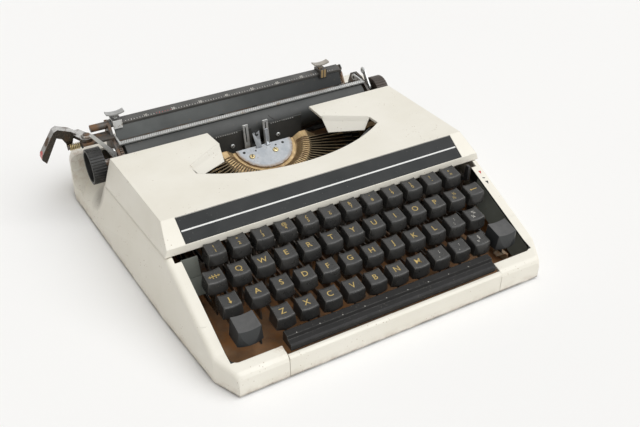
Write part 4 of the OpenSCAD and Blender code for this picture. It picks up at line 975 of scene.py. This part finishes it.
tongueLook = {"outline": [(-7.4, -2.4, 1.62), (-2.6, -2.4, 1.62), (-2.6, 1.2, 4.4), (-2.6, 5.0, 10.2),
                          (-2.9, 6.2, 12.8), (-5.2, 5.7, 11.9), (-8.2, 6.4, 13.2), (-9.2, 5.8, 12.2)],
              "wedge": [(2.6, -2.4, 1.62), (5.6, -2.4, 1.62), (3.9, 1.2, 4.4), (2.6, 3.4, 7.6)],
              "bar": [(-9.6, 6.5, 13.6), (-7.0, 6.6, 13.9), (-5.2, 6.2, 13.1), (-3.9, 6.6, 13.9),
                      (-2.9, 6.8, 14.3)],
              "barRadius": 0.6, "barLift": 0.25, "eye": (-5.3, 5.3, 11.2),
              "eyeProfile": [(1.7, 0), (1.7, 0.35), (1.2, 0.6), (pinpoint, 0.65)], "eyeSteps": 20,
              "thick": 0.7, "forward": (0, -0.85, 0.53)}


def makeTongue():
    part, hook = ([], []), ([], [])
    forward = Vector(tongueLook["forward"]) * mm
    front = forward * tongueLook["thick"]
    for key in ("outline", "wedge"):  # the type bar passes between them
        slab(part, [onPlate(*p) for p in tongueLook[key]], front)
    addPiece("guide_tongue", part, "plate", "chassis")
    lift = forward * (tongueLook["thick"] + tongueLook["barLift"])
    tube(hook, [onPlate(*p) + lift for p in tongueLook["bar"]], tongueLook["barRadius"])
    eye = onPlate(*tongueLook["eye"]) + front
    lathe(hook, eye, forward, tongueLook["eyeProfile"], tongueLook["eyeSteps"])
    addPiece("guide_hook", hook, "hole", "chassis", True)


# notched strip along the type rest; bite: the share of each step that a tooth fills

restLook = {"path": [(58.0, 169.0), (63.1, 171.3), (69.7, 175.0), (76.0, 179.0), (81.6, 183.0),
                     (90.0, 188.9)],
            "z": 55.0, "fall": 0.5, "width": 2.4, "thick": 1.0, "cuts": 4, "bite": (0.06, 0.94)}


def makeRestStrip():
    part = ([], [])
    down = Vector((0, 0, -restLook["thick"] * mm))
    high, low, cuts = restLook["z"], restLook["z"] - restLook["fall"], restLook["cuts"]
    for (x0, y0), (x1, y1) in zip(restLook["path"], restLook["path"][1:]):
        run = Vector((x1 - x0, y1 - y0))
        side = Vector((-run[1], run[0])).normalized() * restLook["width"]
        for k in range(cuts):
            a, b = (Vector((x0, y0)) + run * (k + share) / cuts for share in restLook["bite"])
            slab(part, [at(*a, high), at(*b, high), at(*(b + side), low), at(*(a + side), low)], down)
    addPiece("rest_strip", part, "zinc", "chassis")


# wire and printed ticks on the card holder

wireLook = {"points": [(24.6, 239.0, 55.2), (24.2, 239.0, 56.2), (17.1, 239.0, 58.6), (12.9, 239.0, 62.2),
                       (11.0, 239.0, 65.0)], "radius": 0.28, "sides": 6}


def makeLineWire():
    part = ([], [])
    tube(part, [at(*p) for p in wireLook["points"]], wireLook["radius"], wireLook["sides"])
    addPiece("card_wire", part, "enamel", "chassis", True)


tickLook = {"z": 55.3, "y": 239.35, "spans": ((-40, -18), (14, 39)), "pitch": 2.2, "size": 0.42}


def makeCardTicks():
    part = ([], [])
    y, z, s = tickLook["y"], tickLook["z"], tickLook["size"]
    for x0, x1 in tickLook["spans"]:
        for i in range(int((x1 - x0) / tickLook["pitch"])):
            x = x0 + i * tickLook["pitch"]
            addFace(part, [at(x - s, y, z - s), at(x + s, y, z - s), at(x + s, y, z + s),
                           at(x - s, y, z + s)])
    addPiece("card_ticks", part, "stripe", "chassis")


# black strips as painted shade of the slits in the vibrator's prongs; low and top: height and depth of a
# prong's front

slitPlan = {"x": (-12.6, 7.2), "half": 0.5, "low": (42.0, 234.7), "top": (61.0, 237.9), "span": (0.16, 0.9),
            "lift": 0.05}


def makeProngSlits():
    part = ([], [])
    (z0, y0), (z1, y1) = slitPlan["low"], slitPlan["top"]
    near, far = slitPlan["span"]
    for x in slitPlan["x"]:
        corners = []
        for share, side in ((near, -1), (near, 1), (far, 1), (far, -1)):
            y, z = y0 + (y1 - y0) * share - slitPlan["lift"], z0 + (z1 - z0) * share
            corners.append(at(x + side * slitPlan["half"], y, z))
        addFace(part, corners)
    addPiece("prong_slits", part, "hole", "vibrator")


makeBasketScrews()
makeProngSlits()
makeTongue()
makeLineWire()
makeRestStrip()
makeCardTicks()

# platen knobs: grey rim ring, cap nut and its washer

knobLook = {"axis": (257.8, 48), "left": -150.0, "right": 144.5, "floor": 8,
            "ring": [(13.35, 0), (13.35, 0.12), (13.9, 0.3), (14.8, 0.3), (15.2, 0.05)], "ringSteps": 48,
            "hub": [(6.4, 0), (6.4, 0.8), (4.6, 1.0), (4.6, 3.4), (3.2, 4.3), (pinpoint, 4.5)],
            "hubSteps": 24}


def makeKnobTrim(name, x, sign):
    ring, hub, out = ([], []), ([], []), (sign, 0, 0)
    lathe(ring, at(x, *knobLook["axis"]), out, knobLook["ring"], knobLook["ringSteps"])
    lathe(hub, at(x - sign * knobLook["floor"], *knobLook["axis"]), out, knobLook["hub"],
          knobLook["hubSteps"])
    addPiece(name + "_rim", ring, "knobRim", "roller", True)
    addPiece(name + "_hub", hub, "steel", "roller", True)


makeKnobTrim("left_knob", knobLook["left"], -1)
makeKnobTrim("right_knob", knobLook["right"], 1)

# wound ribbon on both spools

spoolLook = {"x": 106.975, "y": 168.8, "z": 39.3, "height": 9.6, "inner": 8.2, "outer": 19.0, "layers": 16,
             "groove": 0.25, "steps": 40}


def makeRibbon(name, x, body):
    part, inner, outer = ([], []), spoolLook["inner"], spoolLook["outer"]
    profile = [(inner, 0)]
    for i in range(spoolLook["layers"] + 1):
        radius = inner + (outer - inner) * i / spoolLook["layers"]
        profile.append((radius, spoolLook["height"] - (spoolLook["groove"] if i % 2 else 0.0)))
    profile += [(outer, 0), (inner, 0)]
    lathe(part, at(x, spoolLook["y"], spoolLook["z"]), (0, 0, 1), profile, spoolLook["steps"])
    addPiece(name, part, "ribbonCloth", body)


makeRibbon("left_ribbon", -spoolLook["x"], "spool_left")
makeRibbon("right_ribbon", spoolLook["x"], "spool_right")

# marks on the right arm, beside the colour selector

markPlan = {"lift": 0.04, "thick": 0.06,
            "red": {"finish": "red", "outline": [(133.2, 88.9), (135.7, 88.4), (134.0, 85.6)]},
            "bar": {"finish": "hole", "outline": [(132.9, 82.3), (135.0, 81.6), (134.8, 80.9),
                                                  (132.7, 81.6)]},
            "dark": {"finish": "hole", "outline": [(133.0, 78.6), (135.6, 78.0), (134.2, 75.2)]}}


def makeArmMarks():
    surface = surfaceOf("body_shell")
    for key in ("red", "bar", "dark"):
        part, mark = ([], []), markPlan[key]
        corners = [dropOn(surface, x, y, markPlan["lift"]) for x, y in mark["outline"]]
        slab(part, corners, Vector((0, 0, markPlan["thick"] * mm)))
        addPiece("arm_mark_" + key, part, mark["finish"], "chassis")


# bent strip beside the right shift lever: its top, the tongue at its front and the wall that it stands on

stripPlan = {"top": [(115.6, 64, 12), (118.6, 64, 12), (118.8, 24.5, 12), (115.8, 26.5, 12)],
             "tongue": [(115.8, 26.5, 11.6), (116.4, 33.5, 11.6), (113.0, 35.5, 8.2), (112.2, 30.5, 8.2)],
             "wall": [(118.1, 64, 11.6), (118.3, 24.5, 11.6), (118.3, 24.5, 4.1), (118.1, 64, 4.1)],
             "thick": 0.8}


def makeWellStrip():
    part, thick = ([], []), stripPlan["thick"] * mm
    for key, push in (("top", (0, 0, -thick)), ("tongue", (0, 0, -thick)), ("wall", (-thick, 0, 0))):
        slab(part, [at(*p) for p in stripPlan[key]], Vector(push))
    addPiece("well_strip", part, "beige", "chassis")


# liner at the well's right wall and a bent plate at its left rear
# edge: y, z and slope of the line that the liner hangs from

linerPlan = {"span": (13.6, 84.0), "steps": 12, "edge": (20, 24.3, 0.386), "floor": 5.2, "depth": 0.7,
             "curve": ((129.3, -2.0), (128.6, -6.0), (126.6, -10.5), (125.0, -15.0), (123.6, -18.5)),
             "rearX": (-129.2, -116.3), "rearYZ": ((97.0, 50.5), (92.0, 36.0), (85.0, 23.5))}


def makeWellLiner():
    y0, z0, slope = linerPlan["edge"]
    front, back = linerPlan["span"]
    rows = []
    for i in range(linerPlan["steps"] + 1):
        y = front + (back - front) * i / linerPlan["steps"]
        top = z0 + (y - y0) * slope
        rows.append([at(x, y, max(linerPlan["floor"], top + drop)) for x, drop in linerPlan["curve"]])
    part = ([], [])
    addGrid(part, rows)
    addPiece("well_liner", part, "linerGreen", "chassis", True, linerPlan["depth"])


def makeWellPlate():
    part, (x0, x1), bends = ([], []), linerPlan["rearX"], linerPlan["rearYZ"]
    for high, low in zip(bends, bends[1:]):
        corners = [at(x0, *high), at(x1, *high), at(x1, *low), at(x0, *low)]
        slab(part, corners, Vector((0, linerPlan["depth"] * mm, 0)))
    addPiece("well_plate", part, "linerGreen", "chassis")


# pale specks along the space bar

spotPlan = {"first": -80.3, "pitch": 18.3, "count": 9, "y": 11.0, "size": 0.42, "sides": 6, "lift": 0.04}


def makeBarSpots():
    part, surface, sides = ([], []), surfaceOf("space_bar"), spotPlan["sides"]
    for i in range(spotPlan["count"]):
        x, size, corners = spotPlan["first"] + i * spotPlan["pitch"], spotPlan["size"], []
        for k in range(sides):
            turn = 2 * math.pi * k / sides
            u, v = size * math.cos(turn), size * math.sin(turn)
            corners.append(dropOn(surface, x + u, spotPlan["y"] + v, spotPlan["lift"]))
        addFace(part, corners)
    addPiece("space_bar_spots", part, "paleMark", "space_key")


makeArmMarks()
makeWellStrip()
makeWellLiner()
makeWellPlate()
makeBarSpots()
print("basket, knobs, spools and well dressed")
